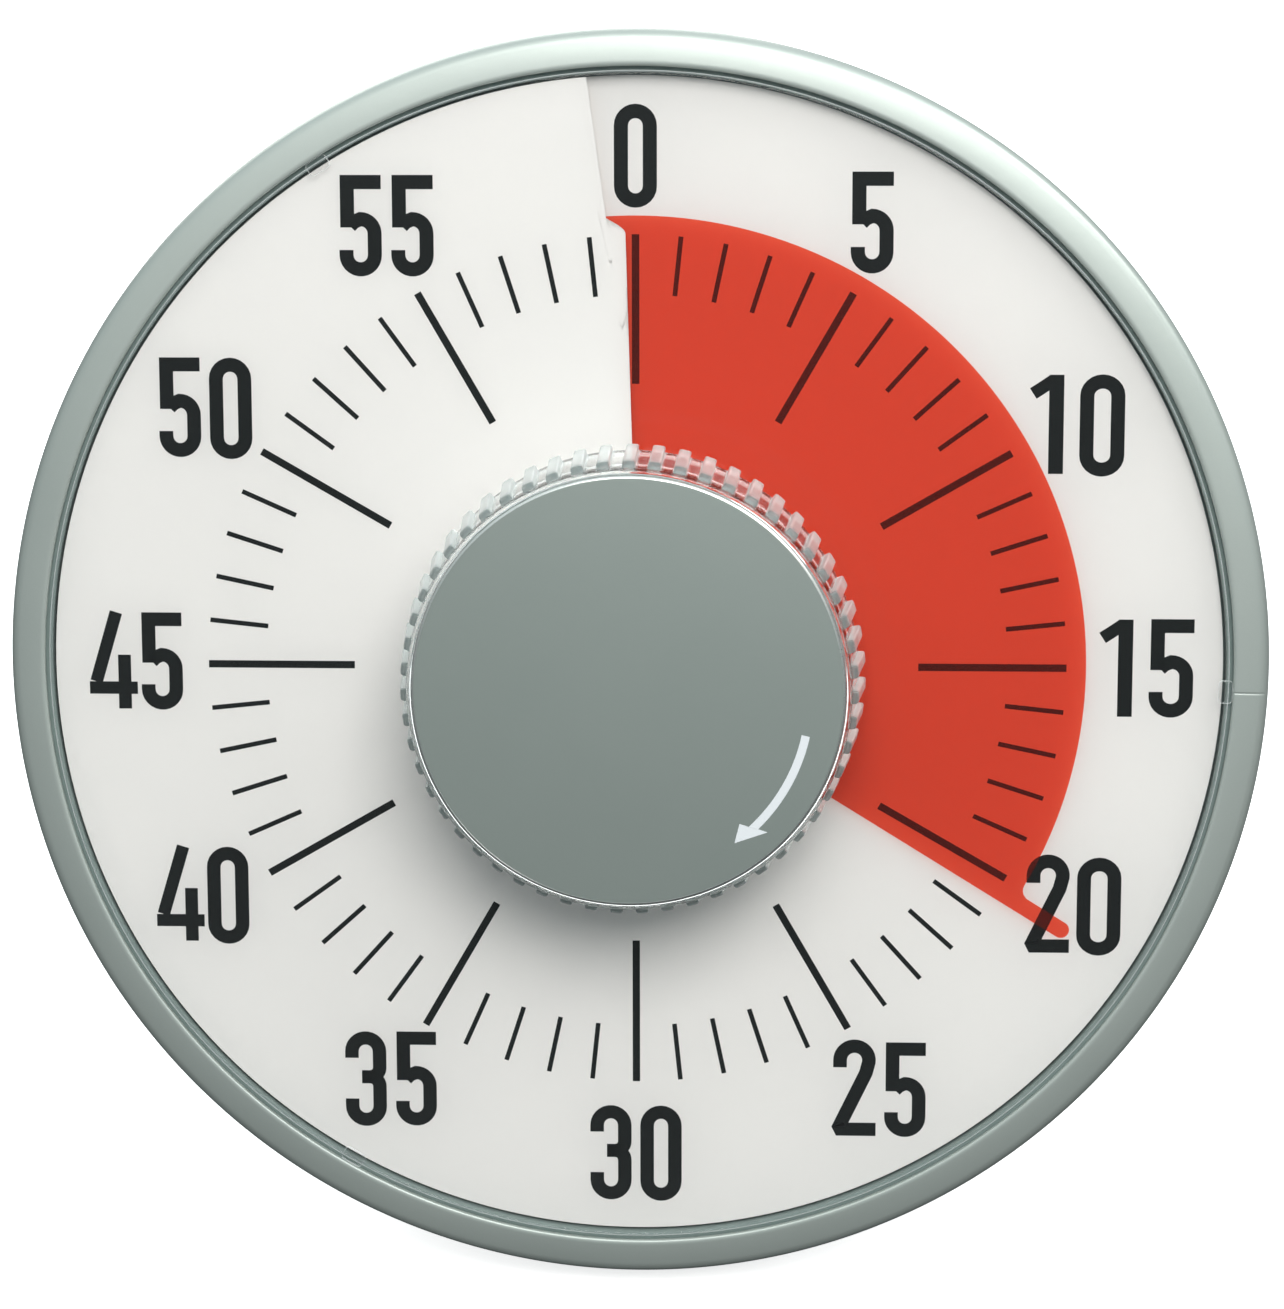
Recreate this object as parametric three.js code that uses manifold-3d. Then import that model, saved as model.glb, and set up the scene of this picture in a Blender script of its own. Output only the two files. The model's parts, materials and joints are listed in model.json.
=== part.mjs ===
// Visual countdown timer: a round dial under a clear lens, a large setting knob that turns a
// coloured film through a slit in the dial, a battery movement behind, and a fold-out stand.
// Millimetres, +Z up, the dial faces -Y and leans back; the origin is under the middle of the object.
// Pieces are drawn in the clock's own frame (x right, y up the dial, z out of the dial towards the
// user, zero at the middle of the dial) and the whole clock is then leaned back.
import * as THREE from 'three';
import { mergeVertices } from 'three/addons/utils/BufferGeometryUtils.js';
import Module from 'manifold-3d';

const wasm = await Module();
wasm.setup();

// ---- driving dimensions -------------------------------------------------------------------
const LEAN = THREE.MathUtils.degToRad(12);  // the dial leans back by this
const GAP = 0.3;                            // clearance kept between touching pieces

const BEZEL_R = 94.6;                       // outside of the front ring
const BEZEL_LIP_R = 88.95;                  // inner edge of the front ring
const BEZEL_TOP = 2.6;                      // crest of the front ring
const LENS_R = 88.35;
const LENS_TOP = 2.4;
const LENS_WALL = 1.0;
const LENS_TAB_ANGLES = [92, 209.6, 328];   // clockwise from twelve o'clock
const LENS_TAB_WIDTH = 3.4;
const LENS_BOSS_R = 30;                     // raised middle of the lens, under the knob
const LENS_BOSS_TOP = 7.2;

const TURN_PITCH = 2.0;                     // dial and film each climb by this in one turn
const SHEET = 0.3;                          // thickness of the dial sheet
const DIAL_R = 87.6;
const DIAL_HOLE_R = 10.3;
const FILM = 0.2;
const FILM_R = 67.2;
const FILM_HOLE_R = 9.9;
const POINTER_R = 76.7;                     // tip of the pointer on the film's leading edge
const POINTER_WIDTH = 2.5;
const FILM_ANGLE = 121.8;                   // where the pointer stands, clockwise from twelve

const TRAY_R = 90.4;                        // carrier under the dial
const TRAY_FLOOR = -1.9;
const TRAY_WALL = 1.5;
const TRAY_RIM_TOP = 1.1;

const SHELL_R = 94.2;
const SHELL_WALL = 2.4;
const SHELL_FRONT = -3.3;
const SHELL_BACK = -22;
const SHELL_BACK_R = 84;
const BACK_WALL = 2.6;
const BACK_INNER = SHELL_BACK + BACK_WALL;

const KNOB_BASE = 8.0;
const KNOB_BASE_R = 34.4;
const KNOB_FRONT = 22.9;
const KNOB_FRONT_R = 32.9;
const KNOB_WALL = 2.0;
const CAP_R = 31.4;
const CAP_TOP = 23.3;

const SPINDLE_R = 3.0;
const BORE_R = SPINDLE_R + 0.35;

const CASE_HALF = 28;                       // the movement case is square
const CASE_FRONT = -3.8;
const CASE_SPLIT = -11.6;
const CASE_BACK = -19.0;
const CASE_WALL = 1.5;

const SCREW_PLACE = 55;                     // housing screws at (+-55, +-55)
const CASE_SCREW_PLACE = 24;

const CELL_R = 7.1;
const CELL_LENGTH = 48.8;
const CELL_Y = 44;
const CELL_Z = -12.3;
const BOX_X = 31;                           // battery box, half its length
const BOX_Y = 10.4;                         // and half its width
const DOOR_TRAVEL = 6;
const DOOR_X = 33;
const DOOR_LOW = 31;
const DOOR_HIGH = 57;
const DOOR_THICK = 1.5;
const RECESS_DEPTH = 1.7;

const SWITCH_X = -56;
const SWITCH_Y = 6;
const SWITCH_TRAVEL = 4;
const SOUNDER_X = 56;
const SOUNDER_Y = 6;
const SOUNDER_R = 12;

const PIVOT_Y = -68;                        // stand hinge, in the clock's frame
const PIVOT_Z = -25.5;
const PIN_R = 1.5;
const BARREL_R = 3.4;
const LEG_HALF = 45;                        // half the stand's width
const LEG_REACH = 56;                       // how far behind the hinge the foot stands
const LEG_THICK = 3;
const PAD_THICK = 1.2;
const SHELL_FOOT = 94.4;                    // moulded foot, below the dial's middle
const FOOT_HALF = 13;
const FOOT_FRONT = -10.2;
const GROUND = -(SHELL_FOOT + PAD_THICK);

const ROUND = 60;                           // sides of the large round pieces
const SMALL = 24;                           // sides of the small ones
const TAU = Math.PI * 2;

// ---- colours ------------------------------------------------------------------------------
const FINISH = {
  silver: [0xb4bab4, 0.42, 0.55], shell: [0x9aa09c, 0.55, 0.1], clear: [0xe9f0f2, 0.06, 0.0],
  white: [0xf1f1ee, 0.6, 0.0], red: [0xd24634, 0.35, 0.0], cap: [0x8a948f, 0.4, 0.5],
  steel: [0xa9adb0, 0.35, 1.0], brass: [0xb79a52, 0.35, 1.0], black: [0x1f2022, 0.6, 0.0],
  acetal: [0xe6e2d6, 0.5, 0.0], green: [0x2f6b45, 0.5, 0.0], copper: [0xb06a3c, 0.4, 0.9],
  rubber: [0x2a2b2c, 0.9, 0.0], cell: [0x3b5f8a, 0.4, 0.3], redwire: [0xb02a22, 0.6, 0.0],
};

// ---- solids -------------------------------------------------------------------------------

// Vertices merged, flat triangles dropped, and faces turned outwards.
function closed(geometry) {
  let g = geometry.index ? geometry.toNonIndexed() : geometry.clone();
  g.deleteAttribute('normal');
  g.deleteAttribute('uv');
  g = mergeVertices(g, 1e-4);
  const p = g.attributes.position;
  const kept = [];
  const a = new THREE.Vector3();
  const b = new THREE.Vector3();
  const c = new THREE.Vector3();
  let volume = 0;
  for (let i = 0; i < g.index.count; i += 3) {
    const [ia, ib, ic] = [0, 1, 2].map((k) => g.index.getX(i + k));
    if (ia === ib || ib === ic || ic === ia) continue;
    kept.push(ia, ib, ic);
    a.fromBufferAttribute(p, ia);
    b.fromBufferAttribute(p, ib);
    c.fromBufferAttribute(p, ic);
    volume += a.dot(b.cross(c));
  }
  g.setIndex(volume < 0 ? kept.reverse() : kept);
  return g;
}

function toSolid(geometry) {
  const g = closed(geometry);
  return new wasm.Manifold(new wasm.Mesh({
    numProp: 3,
    vertProperties: new Float32Array(g.attributes.position.array),
    triVerts: new Uint32Array(g.index.array),
  }));
}

function toGeometry(solid) {
  const mesh = solid.getMesh();
  const g = new THREE.BufferGeometry();
  g.setAttribute('position', new THREE.Float32BufferAttribute(mesh.vertProperties, 3));
  g.setIndex(Array.from(mesh.triVerts));
  return closed(g);
}

// Joins the first list and cuts the second list from it.
function joinAndCut(joined, cut = []) {
  let solid = toSolid(joined[0]);
  for (const g of joined.slice(1)) solid = solid.add(toSolid(g));
  for (const g of cut) solid = solid.subtract(toSolid(g));
  return toGeometry(solid);
}

// A profile of (radius, z) turned about the z axis. It starts and ends on the axis, or closes.
function turned(profile, sides = ROUND) {
  const points = profile.map(([r, z]) => new THREE.Vector2(r, z));
  if (profile[0][0] > 0) points.push(points[0].clone());
  return closed(new THREE.LatheGeometry(points, sides).rotateX(Math.PI / 2));
}

function rod(radius, low, high, sides = SMALL) {
  return turned([[0, low], [radius, low], [radius, high], [0, high]], sides);
}

function ring(inner, outer, low, high, sides = SMALL) {
  return turned([[inner, low], [outer, low], [outer, high], [inner, high]], sides);
}

// A box from its low corner to its high corner.
function block(low, high) {
  const size = high.map((v, i) => v - low[i]);
  const g = new THREE.BoxGeometry(...size);
  return closed(g.translate(...low.map((v, i) => v + size[i] / 2)));
}

function extruded(points, low, high) {
  const shape = new THREE.Shape(points.map(([x, y]) => new THREE.Vector2(x, y)));
  const g = new THREE.ExtrudeGeometry(shape, { depth: high - low, bevelEnabled: false });
  return closed(g.translate(0, 0, low));
}

// A rod along x from one end to the other.
function crossRod(radius, from, to, y, z, sides = SMALL) {
  return rod(radius, from, to, sides).rotateY(Math.PI / 2).translate(0, y, z);
}

const clock = new THREE.Group();

function place(name, geometry, finish, x = 0, y = 0, z = 0) {
  const [color, roughness, metalness] = FINISH[finish];
  const material = new THREE.MeshStandardMaterial({ color, roughness, metalness });
  const mesh = new THREE.Mesh(geometry, material);
  mesh.name = name;
  mesh.position.set(x, y, z);
  clock.add(mesh);
}

// A point on the dial, by its angle clockwise from twelve o'clock.
function onDial(degrees, radius) {
  const a = THREE.MathUtils.degToRad(degrees);
  return [radius * Math.sin(a), radius * Math.cos(a)];
}

// ---- dial and film ------------------------------------------------------------------------

// A thin sheet whose height changes with its angle: angles run clockwise from twelve, in degrees.
function spiralSheet(angles, inner, outerAt, heightAt, thickness) {
  const vertices = [];
  const faces = [];
  for (const angle of angles) {
    const z = heightAt(angle);
    for (const [r, level] of [[inner, z - thickness], [outerAt(angle), z - thickness],
      [outerAt(angle), z], [inner, z]]) vertices.push(...onDial(angle, r), level);
  }
  const quad = (a, b, c, d) => faces.push(a, b, c, a, c, d);
  for (let i = 0; i + 1 < angles.length; i++) {
    for (let k = 0; k < 4; k++) {
      const next = (k + 1) % 4;
      quad(4 * i + k, 4 * i + next, 4 * (i + 1) + next, 4 * (i + 1) + k);
    }
  }
  const last = 4 * (angles.length - 1);
  quad(3, 2, 1, 0);
  quad(last, last + 1, last + 2, last + 3);
  const g = new THREE.BufferGeometry();
  g.setAttribute('position', new THREE.Float32BufferAttribute(vertices, 3));
  g.setIndex(faces);
  return closed(g);
}

function range(from, to, steps) {
  return Array.from({ length: steps + 1 }, (_, i) => from + ((to - from) * i) / steps);
}

// The dial climbs clockwise, so its last edge lies above its first one and the film passes between.
function makeDial() {
  const height = (angle) => TURN_PITCH * (angle / 360 - 0.5);
  place('dial_sheet', spiralSheet(range(0, 358, ROUND), DIAL_HOLE_R, () => DIAL_R, height, SHEET),
    'white');
}

// The film falls clockwise by the same pitch, measured back from its leading edge, which keeps it
// a constant height above the dial in front of the slit and a constant depth below behind it.
function makeFilm() {
  const pointerSweep = THREE.MathUtils.radToDeg(POINTER_WIDTH / POINTER_R);
  const lead = FILM_ANGLE + pointerSweep / 2;
  const height = (angle) => TURN_PITCH * (0.5 - (FILM_ANGLE - angle) / 360) + FILM / 2;
  const outer = (angle) => (angle > lead - pointerSweep - 0.01 ? POINTER_R : FILM_R);
  const body = range(lead - 355, lead - pointerSweep - 0.15, ROUND);
  const angles = [...body, lead - pointerSweep, lead];
  place('time_film', spiralSheet(angles, FILM_HOLE_R, outer, height, FILM), 'red');
}

function makeTray() {
  const under = TRAY_FLOOR - TRAY_WALL;
  const tray = turned([[DIAL_HOLE_R + 0.2, under], [TRAY_R, under], [TRAY_R, TRAY_RIM_TOP],
    [DIAL_R + 0.4, TRAY_RIM_TOP], [DIAL_R + 0.4, TRAY_FLOOR], [DIAL_HOLE_R + 0.2, TRAY_FLOOR]]);
  const holes = corners(SCREW_PLACE).map(([x, y]) => rod(1.8, under - 1, TRAY_FLOOR + 1, 12)
    .translate(x, y, 0));
  place('dial_tray', joinAndCut([tray], holes), 'acetal');
}

function corners(distance) {
  return [[1, 1], [-1, 1], [-1, -1], [1, -1]].map(([x, y]) => [x * distance, y * distance]);
}

// ---- lens and front ring ------------------------------------------------------------------

function makeLens() {
  const under = LENS_TOP - LENS_WALL;
  const lens = turned([[5, LENS_BOSS_TOP], [5, LENS_BOSS_TOP - LENS_WALL],
    [LENS_BOSS_R - 1.4, LENS_BOSS_TOP - LENS_WALL], [LENS_BOSS_R - 0.7, under], [LENS_R, under],
    [LENS_R, LENS_TOP - 0.4], [LENS_R - 0.4, LENS_TOP], [38, LENS_TOP], [37.6, LENS_TOP + 0.25],
    [LENS_BOSS_R + 0.5, LENS_TOP + 0.25], [LENS_BOSS_R - 0.4, LENS_BOSS_TOP]]);
  const reach = BEZEL_LIP_R - GAP;
  const tabs = LENS_TAB_ANGLES.map((angle) => block([-LENS_TAB_WIDTH / 2, LENS_R - 3, under],
    [LENS_TAB_WIDTH / 2, reach, LENS_TOP - 0.4]).rotateZ(-THREE.MathUtils.degToRad(angle)));
  place('lens', joinAndCut([lens, ...tabs]), 'clear');
}

function makeBezel() {
  const lipUnder = 1.5;
  const inside = TRAY_R + 0.5;
  const foot = SHELL_FRONT + GAP;
  place('front_bezel', turned([[BEZEL_LIP_R, lipUnder], [inside, lipUnder], [inside, foot],
    [BEZEL_R, foot], [BEZEL_R, -0.9], [BEZEL_R - 0.5, 0.3], [BEZEL_R - 1.6, 1.4],
    [BEZEL_R - 3.1, 2.2], [BEZEL_LIP_R + 0.9, BEZEL_TOP], [BEZEL_LIP_R + 0.2, 2.45],
    [BEZEL_LIP_R, 2.1]]), 'silver');
}

// ---- rear shell ---------------------------------------------------------------------------

// Something drawn as it stands on the table, z up, is turned into the clock's frame.
function levelled(geometry) {
  return geometry.rotateX(LEAN - Math.PI / 2);
}

function soundHoles() {
  return [0, 1, 2, 3, 4, 5, 6].map((i) => {
    const [x, y] = i ? onDial(i * 60, 5) : [0, 0];
    return rod(1.2, SHELL_BACK - 1, BACK_INNER + 1, 10).translate(SOUNDER_X + x, SOUNDER_Y + y, 0);
  });
}

function makeRearShell() {
  const curve = range(0, 90, 5).map((angle) => {
    const a = THREE.MathUtils.degToRad(angle);
    return [SHELL_BACK_R + (SHELL_R - SHELL_BACK_R) * Math.cos(a),
      -10 + (SHELL_BACK + 10) * Math.sin(a)];
  });
  const outside = turned([[0, SHELL_FRONT], [SHELL_R, SHELL_FRONT], ...curve, [0, SHELL_BACK]]);
  const hollow = turned([[0, SHELL_FRONT + 1], [SHELL_R - SHELL_WALL, SHELL_FRONT + 1],
    ...curve.slice(0, -1).map(([r, z]) => [r - SHELL_WALL, Math.max(z, BACK_INNER)]),
    [SHELL_BACK_R - 1, BACK_INNER], [0, BACK_INNER]]);
  const foot = levelled(block([-FOOT_HALF, FOOT_FRONT, -SHELL_FOOT], [FOOT_HALF, FOOT_FRONT + 8, -86]));
  const lugs = [-1, 1].map((side) => joinAndCut([
    crossRod(4, side * (LEG_HALF + 0.8), side * (LEG_HALF + 4.3), PIVOT_Y, PIVOT_Z),
    block([Math.min(side * (LEG_HALF + 0.8), side * (LEG_HALF + 4.3)), PIVOT_Y - 4, PIVOT_Z],
      [Math.max(side * (LEG_HALF + 0.8), side * (LEG_HALF + 4.3)), PIVOT_Y + 4, BACK_INNER - 1]),
  ]));
  const bossTop = TRAY_FLOOR - TRAY_WALL - GAP;
  const bosses = corners(SCREW_PLACE).map(([x, y]) => rod(4.6, SHELL_BACK + 0.5, bossTop)
    .translate(x, y, 0));
  const screwHoles = corners(SCREW_PLACE).flatMap(([x, y]) => [
    rod(1.8, SHELL_BACK - 1, bossTop + 1, 12).translate(x, y, 0),
    rod(3.6, SHELL_BACK - 1, -18.5, 16).translate(x, y, 0)]);
  const recess = block([-DOOR_X - GAP, DOOR_LOW - GAP, SHELL_BACK - 1],
    [DOOR_X + GAP, DOOR_HIGH + DOOR_TRAVEL + 1, SHELL_BACK + RECESS_DEPTH]);
  const doorway = block([-BOX_X + 2, CELL_Y - BOX_Y + 1.4, SHELL_BACK],
    [BOX_X - 2, CELL_Y + BOX_Y - 1.4, BACK_INNER + 1]);
  const slot = block([SWITCH_X - 2 - SWITCH_TRAVEL - 0.4, SWITCH_Y - 2, SHELL_BACK - 1],
    [SWITCH_X + 2.4 + 0.4, SWITCH_Y + 2, BACK_INNER + 1]);
  const pinHoles = [crossRod(PIN_R + 0.05, -60, 60, PIVOT_Y, PIVOT_Z, SMALL)];
  place('rear_shell', joinAndCut([joinAndCut([outside, foot, ...lugs], [hollow]), ...bosses],
    [...screwHoles, recess, doorway, slot, ...soundHoles(), ...pinHoles]), 'shell');
}

function makeHousingScrews() {
  corners(SCREW_PLACE).forEach(([x, y], i) => {
    const screw = turned([[0, -21.2], [3.2, -21.2], [3.2, -18.9], [1.4, -18.8], [1.4, TRAY_FLOOR - 0.2],
      [0, TRAY_FLOOR - 0.2]], 16);
    place(`housing_screw_${i + 1}`, screw, 'steel', x, y);
  });
}

// ---- battery ------------------------------------------------------------------------------

function makeBattery() {
  const wall = 1.4;
  const front = TRAY_FLOOR - TRAY_WALL - GAP;
  const back = BACK_INNER + GAP;
  const box = joinAndCut(
    [block([-BOX_X, CELL_Y - BOX_Y, back], [BOX_X, CELL_Y + BOX_Y, front])],
    [block([-BOX_X + wall, CELL_Y - BOX_Y + wall, back - 30],
      [BOX_X - wall, CELL_Y + BOX_Y - wall, front - 1.1])]);
  place('battery_box', box, 'black');
  const nub = 1.3;
  const cell = turned([[0, 0], [CELL_R, 0], [CELL_R, CELL_LENGTH], [2.7, CELL_LENGTH],
    [2.7, CELL_LENGTH + nub], [0, CELL_LENGTH + nub]], 32).rotateY(Math.PI / 2);
  place('battery_cell', cell, 'cell', -23.6, CELL_Y, CELL_Z);
  const plate = block([27, CELL_Y - 5, CELL_Z - 5], [27.5, CELL_Y + 5, CELL_Z + 5]);
  place('contact_plate', plate, 'steel');
  place('contact_spring', coilSpring(-29.0, -24.4, 4.2, 3.0, 4, 0.35), 'steel', 0, CELL_Y, CELL_Z);
  const grip = range(0, 4, 4).map((i) => block([-10, 51 + i - 0.2, SHELL_BACK - 0.4],
    [10, 51 + i + 0.3, SHELL_BACK + 0.5]));
  place('battery_door', joinAndCut([block([-DOOR_X, DOOR_LOW, SHELL_BACK],
    [DOOR_X, DOOR_HIGH, SHELL_BACK + DOOR_THICK]), ...grip]), 'shell');
}

// A wire coil along x, its radius changing from one end to the other.
function coilSpring(from, to, radiusFrom, radiusTo, turns, wire) {
  class Coil extends THREE.Curve {
    getPoint(t) {
      const radius = radiusFrom + (radiusTo - radiusFrom) * t;
      const a = t * turns * TAU;
      return new THREE.Vector3(from + (to - from) * t, radius * Math.cos(a), radius * Math.sin(a));
    }
  }
  return tube(new Coil(), wire, turns * 9, 5);
}

function tube(curve, radius, steps, sides) {
  const section = new THREE.Shape(range(0, sides - 1, sides - 1).map((i) => {
    const a = (i * TAU) / sides;
    return new THREE.Vector2(radius * Math.cos(a), radius * Math.sin(a));
  }));
  return closed(new THREE.ExtrudeGeometry(section, { steps, extrudePath: curve, bevelEnabled: false }));
}

// ---- knob and spindle ---------------------------------------------------------------------

function makeKnob() {
  const web = 17.5;
  place('knob_skirt', turned([[BORE_R, 13], [7.5, 13], [7.5, web - 1.8], [KNOB_FRONT_R - KNOB_WALL - 0.2,
    web - 1.8], [KNOB_BASE_R - KNOB_WALL, KNOB_BASE], [KNOB_BASE_R, KNOB_BASE],
  [KNOB_FRONT_R + 0.1, KNOB_FRONT - 0.8], [KNOB_FRONT_R - 0.3, KNOB_FRONT], [CAP_R + GAP, KNOB_FRONT],
  [CAP_R + GAP, web], [BORE_R, web]]), 'clear');
  place('knob_cap', turned([[0, CAP_TOP], [CAP_R - 1.1, CAP_TOP], [CAP_R - 0.35, CAP_TOP - 0.35],
    [CAP_R, CAP_TOP - 1.1], [CAP_R, web + GAP], [CAP_R - 1.8, web + GAP],
    [CAP_R - 1.8, CAP_TOP - 1.8], [0, CAP_TOP - 1.8]]), 'cap');
  place('spindle', rod(SPINDLE_R, CASE_BACK + CASE_WALL + GAP, 20), 'steel');
  place('film_hub', ring(BORE_R, FILM_HOLE_R - GAP, -1.5, 1.2, 32), 'acetal');
  place('spindle_clip', ring(BORE_R, 5.2, 1.5, 2.2), 'steel');
}

// ---- movement -----------------------------------------------------------------------------

const WHEEL_TEETH = 60;                     // on the spindle
const WHEEL_MODULE = 0.5;
const PINION_TEETH = 10;
const SECOND_TEETH = 50;                    // on the second arbor
const SECOND_MODULE = 0.4;
const SECOND_AT = { angle: 215, distance: (WHEEL_MODULE * (WHEEL_TEETH + PINION_TEETH)) / 2 };
const ROTOR_AT = { angle: 120, distance: (SECOND_MODULE * (SECOND_TEETH + PINION_TEETH)) / 2 };

// Straight-sided teeth; one tooth is centred on the given angle clockwise from twelve.
function gearOutline(teeth, module_, phase) {
  const pitch = 360 / teeth;
  const radius = (teeth * module_) / 2;
  const [root, tip] = [radius - 1.15 * module_, radius + 0.85 * module_];
  const corner = [[-0.27, root], [-0.1, tip], [0.1, tip], [0.27, root]];
  return range(0, teeth - 1, teeth - 1).flatMap((i) => corner
    .map(([share, r]) => onDial(phase + (i + share) * pitch, r)));
}

function makeTrain() {
  const [sx, sy] = onDial(SECOND_AT.angle, SECOND_AT.distance);
  const [rx, ry] = onDial(ROTOR_AT.angle, ROTOR_AT.distance);
  const facing = (angle) => angle + 180 + 180 / PINION_TEETH;
  const centre = joinAndCut([extruded(gearOutline(WHEEL_TEETH, WHEEL_MODULE, SECOND_AT.angle), -9.6, -8.4),
    ring(BORE_R - 0.2, 6, -10.5, -7.5)], [rod(BORE_R, -20, 0)]);
  place('centre_wheel', centre, 'brass');
  place('clutch_washer', turned([[BORE_R, -7.2], [5.4, -6.9], [5.4, -6.6], [BORE_R, -6.9]],
    SMALL), 'steel');
  const second = joinAndCut([rod(0.8, -17.1, -5.8, 12),
    extruded(gearOutline(PINION_TEETH, WHEEL_MODULE, facing(SECOND_AT.angle)), -10.6, -7.8),
    extruded(gearOutline(SECOND_TEETH, SECOND_MODULE, ROTOR_AT.angle), -13.4, -12.4)]);
  place('second_wheel', second, 'acetal', sx, sy);
  const rotor = joinAndCut([rod(0.6, -17.1, -8.5, 12), rod(3.4, -16.4, -14.4),
    extruded(gearOutline(PINION_TEETH, SECOND_MODULE, facing(ROTOR_AT.angle)), -13.9, -11.9)]);
  place('rotor', rotor, 'black', sx + rx, sy + ry);
  return [sx + rx, sy + ry];
}

function makeDrive([x, y]) {
  const arm = 1.2;
  const stator = joinAndCut([block([x - 7.5, y - 5.5, -16], [20, y + 5.5, -16 + arm])],
    [rod(4.2, -20, -10).translate(x, y, 0), block([x + 8, y - 4.1, -20], [17, y + 4.1, -10])]);
  place('stator', stator, 'steel');
  const coil = crossRod(3.6, x + 8.8, 15.8, y, -13.8);
  place('drive_coil', coil, 'copper');
}

function makeMovementCase() {
  const [outer, inner] = [CASE_HALF, CASE_HALF - CASE_WALL];
  const post = (low, high) => corners(CASE_SCREW_PLACE).map(([x, y]) => rod(2.6, low, high, 16)
    .translate(x, y, 0));
  const hole = (radius, low, high) => corners(CASE_SCREW_PLACE).map(([x, y]) => rod(radius, low, high, 12)
    .translate(x, y, 0));
  const front = joinAndCut([joinAndCut([block([-outer, -outer, CASE_SPLIT + GAP], [outer, outer, CASE_FRONT])],
    [block([-inner, -inner, -30], [inner, inner, CASE_FRONT - CASE_WALL])]),
  ...post(CASE_SPLIT + GAP, CASE_FRONT - 0.5)],
  [rod(BORE_R, -20, 0), ...hole(1.3, -30, CASE_FRONT - 1)]);
  place('movement_case_front', front, 'white');
  const back = joinAndCut([joinAndCut([block([-outer, -outer, CASE_BACK], [outer, outer, CASE_SPLIT])],
    [block([-inner, -inner, CASE_BACK + CASE_WALL], [inner, inner, 0])]),
  ...post(CASE_BACK + 0.5, CASE_SPLIT)], [...hole(1.3, -30, 0)]);
  place('movement_case_back', back, 'white');
  corners(CASE_SCREW_PLACE).forEach(([x, y], i) => {
    const screw = rod(1.0, CASE_BACK + 0.2, CASE_FRONT - 1.8, 12);
    place(`movement_screw_${i + 1}`, screw, 'steel', x, y);
  });
}

function makeElectronics() {
  const board = [CASE_BACK + CASE_WALL + GAP, CASE_BACK + CASE_WALL + GAP + 0.9];
  place('circuit_board', block([-20, 6, board[0]], [20, 25 - 6, board[1]]), 'green');
  place('crystal', crossRod(1.0, 4, 11, 10, board[1] + 1.4, 12), 'steel');
  place('timer_chip', block([-11, 9, board[1] + GAP], [-3, 16, board[1] + GAP + 1.6]), 'black');
  place('zero_contact', block([7, 17, -12.5], [7.5, 19.5, -7]), 'brass');
}

function makeSounder() {
  const back = BACK_INNER + GAP;
  place('sounder_holder', ring(SOUNDER_R + GAP, SOUNDER_R + 1.8, back, back + 6, 32), 'black',
    SOUNDER_X, SOUNDER_Y);
  place('sounder', turned([[0, back + 3], [SOUNDER_R, back + 3], [SOUNDER_R, back + 3.5],
    [9, back + 3.5], [9, back + 3.9], [0, back + 3.9]], 32), 'brass', SOUNDER_X, SOUNDER_Y);
}

function makeSwitch() {
  const back = BACK_INNER + GAP;
  place('volume_switch', joinAndCut([block([SWITCH_X - 10, SWITCH_Y - 5, back + 2.2],
    [SWITCH_X + 7, SWITCH_Y + 5, back + 7])]), 'black');
  place('volume_button', joinAndCut([
    block([SWITCH_X - 2, SWITCH_Y - 1.7, SHELL_BACK - 1], [SWITCH_X + 2.4, SWITCH_Y + 1.7, back + 1]),
    block([SWITCH_X - 4, SWITCH_Y - 3.4, back], [SWITCH_X + 4.4, SWITCH_Y + 3.4, back + 1.6])]), 'black');
}

// Leads lie in the open space between the case, the battery box and the sounder.
function makeLeads() {
  const lead = (name, finish, points) => {
    const curve = new THREE.CatmullRomCurve3(points.map((p) => new THREE.Vector3(...p)));
    place(name, tube(curve, 0.6, 9, 6), finish);
  };
  lead('battery_lead_plus', 'redwire', [[32, 44, -12], [36, 40, -11], [36, 30, -10], [33, 21, -9],
    [29, 16, -9]]);
  lead('battery_lead_minus', 'black', [[-32, 44, -12], [-36, 40, -11], [-36, 30, -10], [-33, 21, -9],
    [-29, 16, -9]]);
  lead('sounder_lead_red', 'redwire', [[48, 8, -14], [44, 9, -10.5], [38, 8, -9], [29, 6, -9]]);
  lead('sounder_lead_black', 'black', [[48, 3, -14], [44, 2, -10.5], [38, 1, -9], [29, 0, -9]]);
}

// ---- stand --------------------------------------------------------------------------------

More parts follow.
